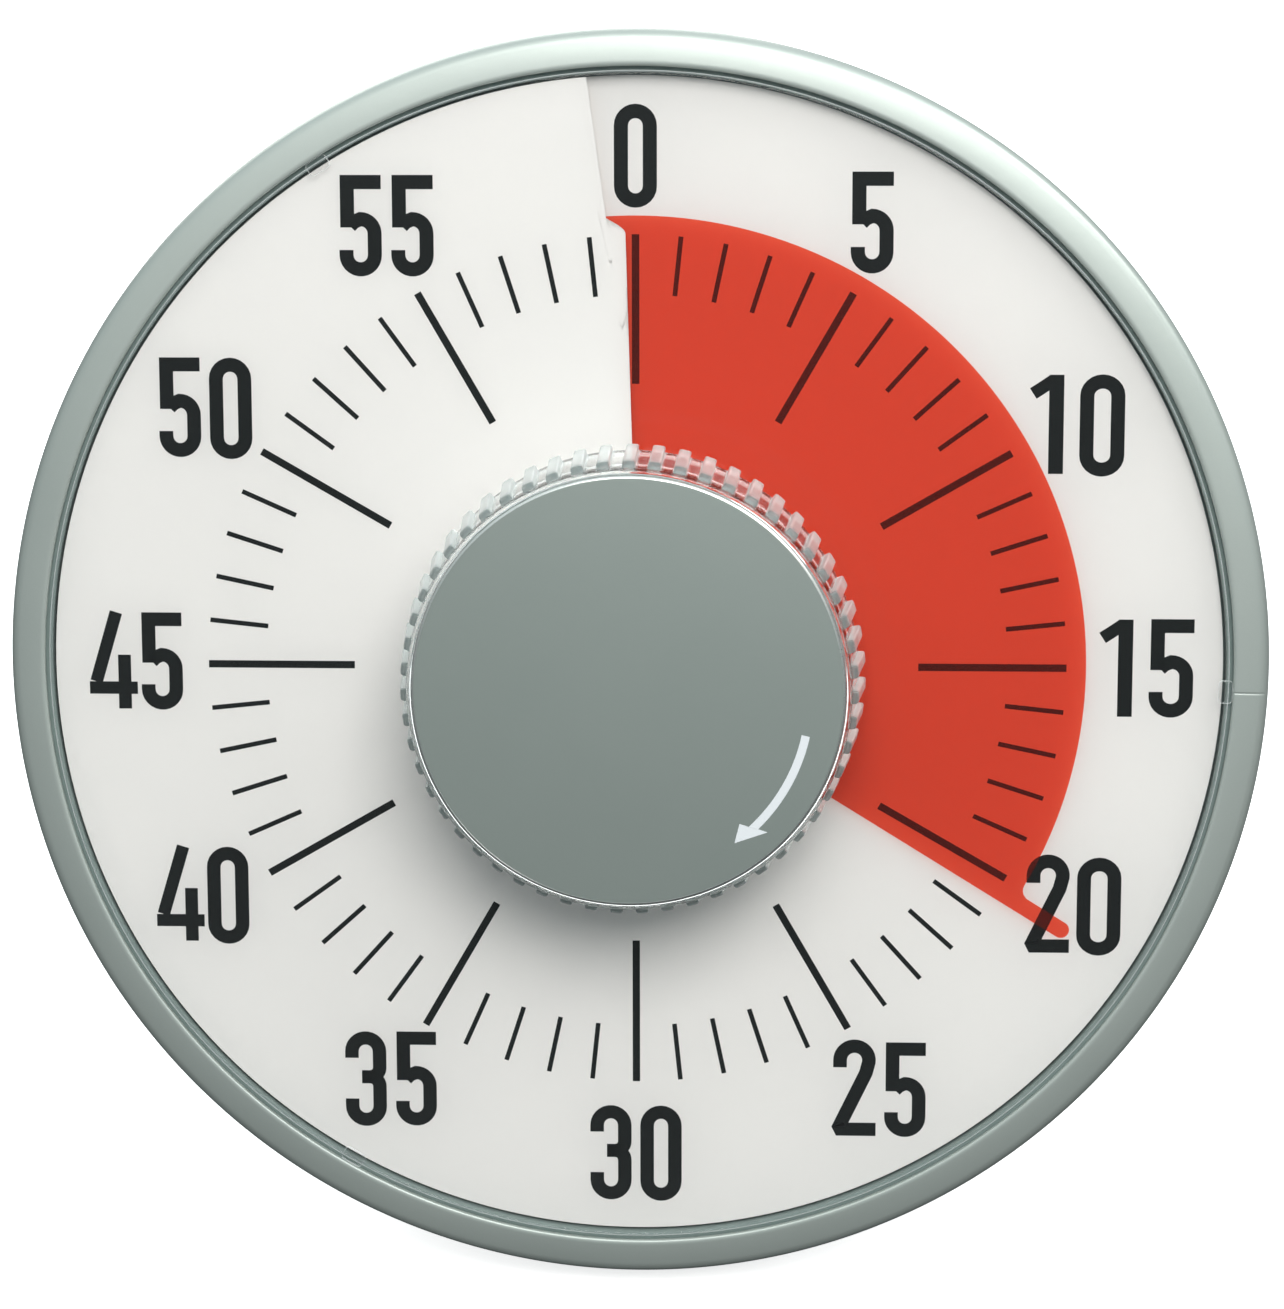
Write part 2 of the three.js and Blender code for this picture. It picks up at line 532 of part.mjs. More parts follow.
// The stand is drawn level, with (y, z) as it stands on the table, and turned into the clock's frame.
function makeStand() {
  const [c, s] = [Math.cos(LEAN), Math.sin(LEAN)];
  const py = PIVOT_Y * s - PIVOT_Z * c;
  const pz = PIVOT_Y * c + PIVOT_Z * s;
  const sole = GROUND + PAD_THICK + GAP;
  const tip = py + LEG_REACH;
  const slope = Math.atan2(pz - sole - LEG_THICK, LEG_REACH - 8);
  const [nx, nz] = [Math.sin(slope) * (LEG_THICK / 2), Math.cos(slope) * (LEG_THICK / 2)];
  const outline = [[py + nx, pz + nz], [tip - 6, sole + LEG_THICK + 1.2], [tip - 1, sole + LEG_THICK + 0.4],
    [tip, sole + LEG_THICK - 1], [tip, sole], [tip - 14, sole], [py - nx, pz - nz]];
  const along = (g) => g.rotateY(Math.PI / 2).rotateX(Math.PI / 2);
  const profile = outline.map(([y, z]) => [y, z]);
  const leg = along(extruded(profile, -LEG_HALF, LEG_HALF));
  const barrel = rod(BARREL_R, -LEG_HALF, LEG_HALF).rotateY(Math.PI / 2).translate(0, py, pz);
  const window_ = block([-LEG_HALF + 15, py + 12, -200], [LEG_HALF - 15, tip - 20, 200]);
  const bore = rod(PIN_R + 0.05, -60, 60).rotateY(Math.PI / 2).translate(0, py, pz);
  const middle = block([-LEG_HALF + 15, py - 6, pz - 6], [LEG_HALF - 15, py + 3.5, pz + 6]);
  const stand = joinAndCut([leg, barrel], [window_, bore, middle]);
  place('stand', levelled(stand), 'shell');
  const pad = block([-LEG_HALF + 4, tip - 11, GROUND], [LEG_HALF - 4, tip - 1, GROUND + PAD_THICK]);
  place('stand_pad', levelled(pad), 'rubber');
  for (const [side, name] of [[-1, 'stand_pin_left'], [1, 'stand_pin_right']]) {
    const ends = [side * (LEG_HALF - 12), side * (LEG_HALF + 4)].sort((a, b) => a - b);
    place(name, levelled(rod(PIN_R, ...ends).rotateY(Math.PI / 2).translate(0, py, pz)), 'steel');
  }
  for (const [side, name] of [[-1, 'front_pad_left'], [1, 'front_pad_right']]) {
    const ends = [side * 3, side * (FOOT_HALF - 1)].sort((a, b) => a - b);
    place(name, levelled(block([ends[0], FOOT_FRONT + 0.6, GROUND],
      [ends[1], FOOT_FRONT + 7.4, GROUND + PAD_THICK - GAP])), 'rubber');
  }
  return { tip };
}

// ---- assembly -----------------------------------------------------------------------------

makeBezel();
makeRearShell();
makeLens();
makeDial();
makeTray();
makeFilm();
makeKnob();
makeMovementCase();
makeDrive(makeTrain());
makeElectronics();
makeSounder();
makeSwitch();
makeBattery();
makeLeads();
makeHousingScrews();
const { tip } = makeStand();

// The clock's z axis faces -Y and leans back; the front is the knob's lower edge, the back is the
// stand's tip, and the origin lies on the table halfway between them.
const front = -(KNOB_FRONT_R - 0.3) * Math.sin(LEAN) - KNOB_FRONT * Math.cos(LEAN);
clock.rotation.x = Math.PI / 2 - LEAN;
clock.position.set(0, -(front + tip) / 2, -GROUND);

const timer = new THREE.Group();
timer.add(clock);
export default timer;
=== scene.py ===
"""A round visual countdown timer on its fold-out stand: a satin silver ring, a clear lens, a white dial
with a slit, a red film that sweeps out through it, and a clear ribbed knob with a silver cap."""
import json
import math

import bmesh
import bpy
import numpy as np
from mathutils import Matrix, Vector


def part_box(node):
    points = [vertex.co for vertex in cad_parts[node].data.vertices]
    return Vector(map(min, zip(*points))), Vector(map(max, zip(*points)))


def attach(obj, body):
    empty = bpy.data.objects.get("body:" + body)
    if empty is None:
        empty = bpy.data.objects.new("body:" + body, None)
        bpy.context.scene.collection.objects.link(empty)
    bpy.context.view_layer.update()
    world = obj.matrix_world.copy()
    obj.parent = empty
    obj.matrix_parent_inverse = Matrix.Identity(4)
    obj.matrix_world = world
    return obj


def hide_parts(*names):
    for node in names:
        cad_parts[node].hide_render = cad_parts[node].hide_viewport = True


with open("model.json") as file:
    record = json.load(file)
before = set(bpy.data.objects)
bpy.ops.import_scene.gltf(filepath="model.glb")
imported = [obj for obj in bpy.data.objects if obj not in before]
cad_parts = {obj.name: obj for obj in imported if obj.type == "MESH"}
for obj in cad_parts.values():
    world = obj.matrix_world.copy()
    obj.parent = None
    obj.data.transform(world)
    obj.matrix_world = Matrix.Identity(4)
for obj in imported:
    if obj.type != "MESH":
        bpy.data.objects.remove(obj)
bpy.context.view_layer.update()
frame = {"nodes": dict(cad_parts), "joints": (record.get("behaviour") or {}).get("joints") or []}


# ---- Front ring -----------------------------------------------------------------------------
# The ring round the face is moulded in ABS and sprayed with satin silver paint. It snaps over the
# rear shell and holds the lens; a fine flow line crosses it beside the lens's right-hand tab.

setting_knob = next(joint for joint in frame["joints"] if joint["name"] == "setting_knob")
DIAL_MIDDLE = np.array(setting_knob["pos_m"])
OUT_OF_DIAL = -np.array(setting_knob["axis"])
TO_THE_RIGHT = np.array((1.0, 0.0, 0.0))
UP_THE_DIAL = np.cross(OUT_OF_DIAL, TO_THE_RIGHT)


def on_clock(points):
    """Clock points in millimetres, x right, y up the dial and z out of it from the dial's middle, turned to
    where the leaning timer has them: middle + x times right + y times up + z times out, in metres."""
    return DIAL_MIDDLE + np.asarray(points) @ np.array((TO_THE_RIGHT, UP_THE_DIAL, OUT_OF_DIAL)) / 1000


def arc(middle, radius, start, end, steps=10):
    """Points on an arc: middle + radius times (sin, cos) of an angle that goes clockwise from straight up.
    The radius may be a pair, for an ellipse."""
    angle = np.radians(np.linspace(start, end, steps))
    return np.array(middle) + np.stack((np.sin(angle), np.cos(angle)), -1) * radius


def filleted(corners, steps=6):
    """A closed outline through corners (x, y, fillet radius). Each corner is an arc that touches both of
    its sides: its middle lies on the bisector, at radius / sin(half the corner's angle)."""
    corners = np.array(corners, float)
    at, radius = corners[:, :2], corners[:, 2:]
    before = np.roll(at, 1, 0) - at
    after = np.roll(at, -1, 0) - at
    before /= np.linalg.norm(before, axis=1, keepdims=True)
    after /= np.linalg.norm(after, axis=1, keepdims=True)
    half = np.arccos(np.clip((before * after).sum(1, keepdims=True), -1, 1)) / 2
    bisector = before + after
    middle = at + bisector / np.linalg.norm(bisector, axis=1, keepdims=True) * radius / np.sin(half)
    first = at + before * radius / np.tan(half) - middle
    last = at + after * radius / np.tan(half) - middle
    turn = np.pi - 2 * half
    share = np.linspace(0, 1, steps)[None, :, None]
    swing = (np.sin((1 - share) * turn[:, None]) * first[:, None]
             + np.sin(share * turn[:, None]) * last[:, None]) / np.sin(turn[:, None])
    return (middle[:, None] + swing).reshape(-1, 2)


def turned(profile, angles=np.linspace(0, 360, 361)[:-1]):
    """A profile of (radius, height) points turned round the clock's axis: a grid of profile by angle."""
    radius, height = np.array(profile).T[:, :, None]
    angle = np.radians(angles)
    return np.stack(np.broadcast_arrays(radius * np.sin(angle), radius * np.cos(angle), height), -1)


def closed(rows):
    """The same rows with the first one repeated at the end, so that a grid or an outline meets itself."""
    return np.concatenate((rows, rows[:1]))


def solid(name, *grids, place=on_clock, crease=32):
    """One mesh from grids of points, rows by columns by (x, y, z). Columns run round and meet; points that
    coincide are merged, so rows on an axis become poles and a repeated row closes the grid."""
    points, faces, count = [], [], 0
    for grid in grids:
        rows, columns = grid.shape[:2]
        here = count + np.arange(rows * columns).reshape(rows, columns)
        beside = np.roll(here, -1, 1)
        faces.append(np.stack((here[:-1], beside[:-1], beside[1:], here[1:]), -1).reshape(-1, 4))
        points.append(grid.reshape(-1, 3))
        count += rows * columns
    mesh = bpy.data.meshes.new(name)
    mesh.from_pydata(place(np.concatenate(points)).tolist(), [], np.concatenate(faces).tolist())
    work = bmesh.new()
    work.from_mesh(mesh)
    bmesh.ops.remove_doubles(work, verts=work.verts, dist=5e-7)
    bmesh.ops.recalc_face_normals(work, faces=work.faces)
    work.to_mesh(mesh)
    work.free()
    smooth(mesh, crease)
    piece = bpy.data.objects.new(name, mesh)
    bpy.context.collection.objects.link(piece)
    return piece


def smooth(mesh, crease):
    """Shades a mesh smooth, but sharp where two faces meet at more than the crease angle."""
    mesh.polygons.foreach_set("use_smooth", np.ones(len(mesh.polygons), bool))
    mesh.set_sharp_from_angle(angle=math.radians(crease))


def fitted(piece, body, slot, coat, *stands_for):
    """Gives a piece its finish, makes it ride on a body, and hides the nodes it stands for. The slot is not
    used.
    """
    piece.data.materials.clear()
    piece.data.materials.append(coat)
    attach(piece, body)
    if stands_for:
        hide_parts(*stands_for)
    return piece


def half_width(node):
    """Half a node's width, in millimetres: the radius of a round one."""
    low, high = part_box(node)
    return (high.x - low.x) * 500


class Tap:
    """What a shader node gives out. Arithmetic on it adds Math nodes to the same material."""

    def __init__(self, tree, socket=None):
        self.tree, self.socket = tree, socket

    def node(self, kind, settings=None, values=None, out=0):
        """Adds a node: first its settings, then its sockets' values or links. Gives one of its outputs."""
        made = self.tree.nodes.new(kind)
        for name, value in (settings or {}).items():
            if name == "stops":
                for (at, level), stop in zip(value, made.color_ramp.elements):
                    stop.position, stop.color = at, (level, level, level, 1)
            else:
                setattr(made, name, value)
        for name, value in (values or {}).items():
            if isinstance(value, Tap):
                self.tree.links.new(value.socket, made.inputs[name])
            else:
                made.inputs[name].default_value = value
        return Tap(self.tree, made.outputs[out]) if made.outputs else None

    def math(self, operation, first, second):
        return self.node("ShaderNodeMath", {"operation": operation}, {0: first, 1: second})

    def __add__(self, other):
        return self.math("ADD", self, other)

    def __sub__(self, other):
        return self.math("SUBTRACT", self, other)

    def __rsub__(self, other):
        return self.math("SUBTRACT", other, self)

    def __mul__(self, other):
        return self.math("MULTIPLY", self, other)

    def __pow__(self, other):
        return self.math("POWER", self, other)

    __radd__ = __add__
    __rmul__ = __mul__

    def noise(self, size_mm, detail=2.0, stretch=(1, 1, 1)):
        """Noise from 0 to 1 with lumps of about the given size, drawn out along the piece by stretch."""
        where = self.node("ShaderNodeTexCoord", out="Object")
        drawn = self.node("ShaderNodeMapping", values={"Vector": where, "Scale": stretch})
        return self.node("ShaderNodeTexNoise", values={"Vector": drawn, "Scale": 1000 / size_mm,
                                                       "Detail": detail})

    def tinted(self, share, first, second):
        """A colour that goes from the first to the second as share goes from 0 to 1."""
        return self.node("ShaderNodeMix", {"data_type": "RGBA"}, {0: share, 6: first, 7: second}, out=2)

    def bumped(self, height, depth_mm):
        """A surface normal roughened by a height from 0 to 1 that stands for so many millimetres."""
        return self.node("ShaderNodeBump", values={"Height": height, "Distance": depth_mm / 1000})


def tone(red, green, blue):
    """A colour as it looks, 0 to 255, in the linear values that shaders take."""
    return tuple(np.power(np.array((red, green, blue)) / 255, 2.2)) + (1.0,)


def finish(name, draw):
    """A material whose surface is what draw gives for an empty node tree."""
    made = bpy.data.materials.new(name)
    made.use_nodes = True
    made.node_tree.nodes.clear()
    tap = Tap(made.node_tree)
    tap.node("ShaderNodeOutputMaterial", values={"Surface": draw(tap)})
    return made


def silver_paint(name, dark, light, metallic, roughness):
    """Sprayed silver: flakes of 0.1 mm glint a little lighter or darker, under a faint orange peel."""
    def draw(tap):
        flakes = tap.noise(0.12, 1.0)
        peel = tap.noise(1.6)
        cloud = tap.noise(22)
        return tap.node("ShaderNodeBsdfPrincipled", values={
            "Base Color": tap.tinted(flakes * 0.5 + cloud * 0.5, dark, light),
            "Metallic": metallic,
            "Roughness": roughness + (flakes - 0.5) * 0.16,
            "Normal": tap.bumped(peel * 0.8 + flakes * 0.2, 0.012),
        })
    return finish(name, draw)


RING_R = half_width("front_bezel")
LIP_R = 88.95
CROWN = 2.6                                # crest of the ring, above the dial's middle
RING_FOOT = -3.0
RING_INSIDE = 90.9
LIP_UNDER = 1.5
FLOW_LINE = 92.0                           # degrees clockwise from twelve

ring_profile = np.concatenate((
    arc((LIP_R + 0.22, CROWN - 0.3), 0.22, -90, -10, 6),
    arc((LIP_R - 0.9, CROWN - 26), 26, 3, 11, 12),
    arc((RING_R - 1.45, -0.9), (1.3, 2.9), 15, 90, 12),
    arc((RING_R - 0.45, RING_FOOT + 0.3), 0.3, 90, 180, 5),
    arc((RING_INSIDE + 0.2, RING_FOOT + 0.2), 0.2, 180, 270, 4),
    [(RING_INSIDE, LIP_UNDER)],
    arc((LIP_R + 0.15, LIP_UNDER + 0.15), 0.15, 180, 270, 4)))
flow_fine = FLOW_LINE + np.linspace(-0.3, 0.3, 13)
ring_angles = np.unique(np.concatenate((np.arange(0, 360, 1.0), flow_fine)))
ring_grid = turned(closed(ring_profile), ring_angles)
flow_dip = 0.05 * np.exp(-((ring_angles - FLOW_LINE) / 0.08) ** 2)
ring_grid[..., 2] -= np.where(ring_grid[..., 2] > LIP_UNDER + 0.2, flow_dip, 0)

ring_silver = silver_paint("ring_silver", tone(170, 178, 173), tone(188, 195, 189), 0.62, 0.44)
fitted(solid("silver_ring", ring_grid), "housing", "bezel", ring_silver, "front_bezel")


# ---- Lens -----------------------------------------------------------------------------------
# A clear polycarbonate moulding covers the dial: flat over the numbers, raised in the middle where
# the knob stands on it. Three small tabs on its rounded rim hold it centred in the ring.

LENS_R = 88.35
LENS_TOP = 2.4
LENS_UNDER = 1.4
BOSS_R = 30.0
BOSS_TOP = 7.2
STEP_R = 37.8                              # where the middle starts to rise, in a step of 0.25 mm
SPINDLE_HOLE_R = 5.0
TAB_ANGLES = (92.0, 209.6, 328.0)
TAB_WIDTH = 3.4


def on_dial(angle, radius):
    """The clock's (x, y) at an angle clockwise from twelve and a radius from the middle."""
    angle = np.radians(angle)
    return np.stack(np.broadcast_arrays(radius * np.sin(angle), radius * np.cos(angle)), -1)


def capped(grid):
    """A grid whose first and last rows are drawn in to their middles, which shuts a tube's two ends."""
    first = np.broadcast_to(grid[:1].mean(1, keepdims=True), grid[:1].shape)
    last = np.broadcast_to(grid[-1:].mean(1, keepdims=True), grid[-1:].shape)
    return np.concatenate((first, grid, last))


def slab(outline, low, high, edge=0.3, steps=4):
    """A plate: an outline in (x, y), counter-clockwise, raised from low to high, with its edges rounded.
    Each row is the outline moved in along its normals by edge * (1 - cos), as its height goes by sin."""
    ahead = np.roll(outline, -1, 0) - outline
    behind = outline - np.roll(outline, 1, 0)
    along = ahead / np.linalg.norm(ahead, axis=1, keepdims=True)
    along = along + behind / np.linalg.norm(behind, axis=1, keepdims=True)
    along /= np.linalg.norm(along, axis=1, keepdims=True)
    inward = np.stack((-along[:, 1], along[:, 0]), -1)
    quarter = np.linspace(0, np.pi / 2, steps)
    inset = edge * np.concatenate((1 - np.sin(quarter), 1 - np.cos(quarter)))
    height = np.concatenate((low + edge * (1 - np.cos(quarter)), high - edge * (1 - np.sin(quarter))))
    flat = outline + inward * inset[:, None, None]
    return capped(np.concatenate((flat, np.broadcast_to(height[:, None, None], flat.shape[:2] + (1,))), -1))


def rectangle(x_low, y_low, x_high, y_high, corner=0.5, steps=5):
    """A rectangle's outline, counter-clockwise, with rounded corners."""
    return filleted([(x_low, y_low, corner), (x_high, y_low, corner),
                     (x_high, y_high, corner), (x_low, y_high, corner)], steps)


def spun(outline, angle):
    """An outline turned clockwise about the clock's middle."""
    c, s = math.cos(math.radians(angle)), math.sin(math.radians(angle))
    return outline @ np.array(((c, -s), (s, c)))


def see_through(name, tint, gloss, index):
    """Clear plastic seen through in a straight line. Its gloss grows towards the edges by Schlick's rule:
    straight-on gloss + the rest times (1 - cosine)^5. Where it is seen edge on, a lit white diffuse is mixed
    in by (1 - cosine)^1.8: a painted highlight that stands for light caught inside the edge."""
    square_on = ((index - 1) / (index + 1)) ** 2

    def draw(tap):
        edge_on = tap.node("ShaderNodeLayerWeight", values={"Blend": 0.5}, out="Facing")
        clear = tap.node("ShaderNodeBsdfTransparent", values={"Color": tint})
        shine = tap.node("ShaderNodeBsdfPrincipled", values={
            "Base Color": tone(250, 252, 252), "Metallic": 1.0,
            "Roughness": gloss + tap.noise(3.0, 4.0) * 0.05})
        glossy = tap.node("ShaderNodeMixShader", values={
            0: (edge_on ** 5) * (1 - square_on) + square_on, 1: clear, 2: shine})
        # The white diffuse seen edge on is a painted highlight on the lens's rim.
        edge_highlight_white = tap.node("ShaderNodeBsdfDiffuse", values={"Color": tone(246, 250, 250)})
        return tap.node("ShaderNodeMixShader", values={0: edge_on ** 1.8, 1: glossy, 2: edge_highlight_white})
    return finish(name, draw)


lens_profile = filleted((
    (SPINDLE_HOLE_R, BOSS_TOP, 0.2), (SPINDLE_HOLE_R, BOSS_TOP - 1, 0.2),
    (BOSS_R - 1.4, BOSS_TOP - 1, 0.6), (BOSS_R - 0.7, LENS_UNDER, 0.5),
    (LENS_R, LENS_UNDER, 0.3), (LENS_R, LENS_TOP, 0.62),
    (STEP_R + 0.9, LENS_TOP, 1.5), (STEP_R - 0.9, LENS_TOP + 0.25, 1.5),
    (BOSS_R + 0.4, LENS_TOP + 0.25, 0.5), (BOSS_R - 0.4, BOSS_TOP, 0.7)))
lens_tabs = [slab(spun(rectangle(-TAB_WIDTH / 2, LENS_R - 1.5, TAB_WIDTH / 2, LIP_R - 0.05), angle),
                  LENS_UNDER, LENS_TOP - 0.25, 0.15) for angle in TAB_ANGLES]
clear_lens = see_through("clear_lens", tone(254, 254, 254), 0.03, 1.3)
fitted(solid("dial_lens", turned(closed(lens_profile)), *lens_tabs), "housing", "lens", clear_lens, "lens")


# ---- Dial tray and dial ---------------------------------------------------------------------
# The dial is a sheet of white plastic that climbs 2 mm in one turn round the spindle, so its last
# edge lies over its first and leaves a slit for the film. It rests in a shallow moulded tray.

TURN_PITCH = 2.0
DIAL_R = 87.6
DIAL_HOLE_R = 10.3
DIAL_SHEET = 0.008                         # both sheets are drawn thin, since the film has to pass the dial
DIAL_TUCK = -6.6                           # where the sheet starts, hidden under its own last edge
TRAY_R = half_width("dial_tray")
TRAY_FLOOR = -1.9
TRAY_WALL = 1.5
TRAY_RIM = 1.1


def plastic(name, dark, light, roughness, grain_mm, grain_depth_mm, shine=0.5):
    """Moulded plastic: its colour drifts slowly between two tones, and a fine grain breaks its surface."""
    def draw(tap):
        grain = tap.noise(grain_mm, 3.0)
        return tap.node("ShaderNodeBsdfPrincipled", values={
            "Base Color": tap.tinted(tap.noise(14) * 0.7 + grain * 0.3, dark, light),
            "Roughness": roughness + (grain - 0.5) * 0.12,
            "Specular IOR Level": shine,
            "Normal": tap.bumped(grain, grain_depth_mm)})
    return finish(name, draw)


def flap_edge(radius):
    """The angle of the dial's last edge at a radius. It runs in along one straight line, steps 4 mm across
    by a smooth curve just outside the film's rim, and goes on to the hub along another straight line."""
    outer = -5.55 - (radius - 68.75) * 0.0817
    inner = -0.47 - (radius - 34.1) * 0.0299
    share = np.clip((radius - 64.6) / 3.7, 0, 1)
    step = share * share * (3 - 2 * share)
    return 360 + np.degrees(np.arcsin((inner + (outer - inner) * step) / radius))


def plate(inner_to_outer, height, thickness):
    """A thin sheet: rows of (x, y) from its inner to its outer edge, with the height of its upper side at
    each point. The section runs out along the top and back along the underside."""
    top = np.concatenate((inner_to_outer, height[..., None]), -1)
    under = top - (0, 0, thickness)
    return capped(np.concatenate((top, under[:, ::-1]), 1))


def dial_height(angle):
    """The height of the dial's face at an angle clockwise from twelve."""
    return TURN_PITCH * (angle / 360 - 0.5)


dial_radius = np.concatenate((np.linspace(DIAL_HOLE_R, 64, 16), np.linspace(64.5, 68.5, 14),
                              np.linspace(69.5, DIAL_R, 6)))
dial_share = np.linspace(0, 1, 361)[:, None]
dial_angle = DIAL_TUCK + (flap_edge(dial_radius) - DIAL_TUCK) * dial_share
dial_grid = plate(on_dial(dial_angle, dial_radius), dial_height(dial_angle), DIAL_SHEET)
dial_white = plastic("dial_white", tone(240, 236, 233), tone(244, 240, 236), 0.42, 0.5, 0.004)
fitted(solid("dial_face", dial_grid), "housing", "dial", dial_white, "dial_sheet")

tray_under = TRAY_FLOOR - TRAY_WALL
tray_profile = filleted(((DIAL_HOLE_R + 0.2, tray_under, 0.2), (TRAY_R, tray_under, 0.3),
                         (TRAY_R, TRAY_RIM, 0.3), (DIAL_R + 0.4, TRAY_RIM, 0.25),
                         (DIAL_R + 0.4, TRAY_FLOOR, 0.3), (DIAL_HOLE_R + 0.2, TRAY_FLOOR, 0.2)), 4)
tray_grey = plastic("tray_grey", tone(116, 130, 127), tone(126, 140, 136), 0.5, 0.9, 0.01)
fitted(solid("tray_dish", turned(closed(tray_profile))), "housing", "tray", tray_grey, "dial_tray")


# ---- Minute marks and numbers -----------------------------------------------------------------
# Sixty minute marks and twelve numbers are screen printed on the dial in black ink, in strokes of one
# width. The ink follows the climb of the sheet and stands a little proud of it.

INK = 0.006
MARK_OUTER = 64.4
MARK_SHORT, MARK_LONG = 55.6, 42.3         # inner ends of the minute and five-minute marks
MARK_WIDTH, MARK_BOLD = 0.72, 1.12
NUMBER_R = 75.2
STROKE = 2.08
PAIR = (-3.93, 3.75)                       # middles of a number's two digits
NUDGES = {0: (0, .65), 5: (-2.8, .85), 10: (.15, -1.25), 15: (.95, -.1), 20: (1.0, 1.15), 25: (-.4, -.35),
          30: (0, -.6), 35: (0, .6), 40: (-.85, 1.8), 45: (-.15, .2), 50: (1.05, 1.0), 55: (.95, .4)}


def stroke(path, width, height=lambda flat: 0.0, rise=INK):
    """A flat line of ink along a path of (x, y) points: each point is moved half the width to both sides
    along the mitre of its two neighbours' normals. A path that ends where it starts is a closed loop."""
    path = np.array(path, float)
    loop = np.allclose(path[0], path[-1])
    way = np.diff(path, axis=0)
    way /= np.linalg.norm(way, axis=1, keepdims=True)
    across = np.stack((-way[:, 1], way[:, 0]), -1)
    before = np.concatenate((across[-1:] if loop else across[:1], across))
    after = np.concatenate((across, across[:1] if loop else across[-1:]))
    mitre = (before + after) / (1 + (before * after).sum(1, keepdims=True))
    mitre *= np.broadcast_to(width, len(path))[:, None] / 2
    flat = np.stack((path + mitre, path - mitre, path - mitre, path + mitre), 1)
    lift = np.array((rise, rise, -rise, -rise))
    grid = np.concatenate((flat, (height(flat) + lift * np.ones(flat.shape[:2]))[..., None]), -1)
    return grid if loop else capped(grid)


def sheet_height(flat):
    """The dial's height under (x, y) points: the slit is passed at 355 degrees, clear of all the ink."""
    angle = np.degrees(np.arctan2(flat[..., 0], flat[..., 1]))
    return dial_height((angle + 5) % 360 - 5)


def digit(number):
    """The strokes of one digit, as centre lines and widths about its middle: arcs joined by straight runs."""
    if number == 0:
        oval = np.concatenate((arc((0, 4.4), 2.13, -90, 90, 13), arc((0, -4.4), 2.13, 90, 270, 13)))
        return [(closed(oval), STROKE)]
    if number == 1:
        return [([(0.9, 7.5), (0.9, -7.2)], 2.2), ([(0.5, 6.75), (-1.35, 5.5), (-2.55, 4.72)], 1.85)]
    if number == 2:
        bow = np.concatenate(([(-2.2, 3.6)], arc((0, 4.75), 2.2, -90, 98, 16)))
        return [(np.concatenate((bow, [(1.75, 2.75), (-2.3, -5.75), (-2.1, -6.15), (3.3, -6.15)])), STROKE)]
    if number == 3:
        upper = np.concatenate(([(-2.12, 3.35)], arc((0, 4.4), 2.12, -90, 90, 14), [(2.12, 2.3)],
                                arc((0.65, 1.84), 1.47, 90, 180, 8), [(-0.62, 0.37)]))
        lower = np.concatenate(([(-0.62, 0.37)], arc((0.65, -1.1), 1.47, 0, 90, 8),
                                arc((0, -4.28), 2.12, 90, 270, 14), [(-2.12, -3.1)]))
        return [(upper, STROKE), (lower, STROKE)]
    if number == 4:
        return [([(0.93, 7.6), (-2.28, -3.0)], 1.92), ([(-3.32, -3.95), (3.98, -3.95)], 1.9),
                ([(2.05, 1.1), (2.05, -7.15)], 1.95)]
    corner = [(3.15, 6.55), (-1.88, 6.55), (-1.88, -0.1)]
    bowl = np.concatenate(([(-1.5, 0.1), (-0.9, 0.72)], arc((0.05, -0.97), 2.1, 0, 90, 9),
                           arc((0.05, -4.15), 2.1, 90, 270, 14), [(-2.05, -3.4)]))
    return [(corner, STROKE), (bowl, STROKE)]


def printed_number(minute):
    """A number's ink: its digits stand upright about a point on the circle of numbers."""
    middle = on_dial(minute * 6, NUMBER_R) + NUDGES[minute]
    digits = [int(c) for c in str(minute)]
    places = PAIR if len(digits) == 2 else (0,)
    wide = {(1, 0), (1, 5), (2, 0)}
    for number, place in zip(digits, places):
        broad = 1.07 if tuple(digits) in wide and number in (0, 5) else 1.0
        for path, width in digit(number):
            yield stroke(np.array(path) * (broad, 1) + middle + (place, 0), width, sheet_height)


def printed_mark(minute):
    """A minute mark's ink, along a radius. Every fifth one is longer and bolder."""
    fifth = minute % 5 == 0
    ends = np.array((MARK_LONG if fifth else MARK_SHORT, MARK_OUTER))
    return stroke(on_dial(minute * 6, ends), MARK_BOLD if fifth else MARK_WIDTH, sheet_height)


black_ink = plastic("black_ink", tone(14, 17, 17), tone(22, 26, 26), 0.5, 0.3, 0.003, 0.15)
numbers = [grid for minute in range(0, 60, 5) for grid in printed_number(minute)]
fitted(solid("dial_numbers", *numbers), "housing", "black_plastic", black_ink)
fitted(solid("dial_marks", *map(printed_mark, range(60))), "housing", "black_plastic", black_ink)


# ---- Time film --------------------------------------------------------------------------------
# The film is a red polyester spiral with a pointer on its leading edge. It turns with the knob, falls
# clockwise as the dial climbs, and passes down through the slit. Light shows the ink under it.

FILM_SHEET = 0.008
FILM_R = 67.2
FILM_HOLE_R = 9.9
FILM_ANGLE = 121.8                         # where the pointer stands, clockwise from twelve
POINTER_R = 76.7
POINTER_HALF = 1.25
POINTER_FILLET = 1.6
FILM_TAIL = -354.0


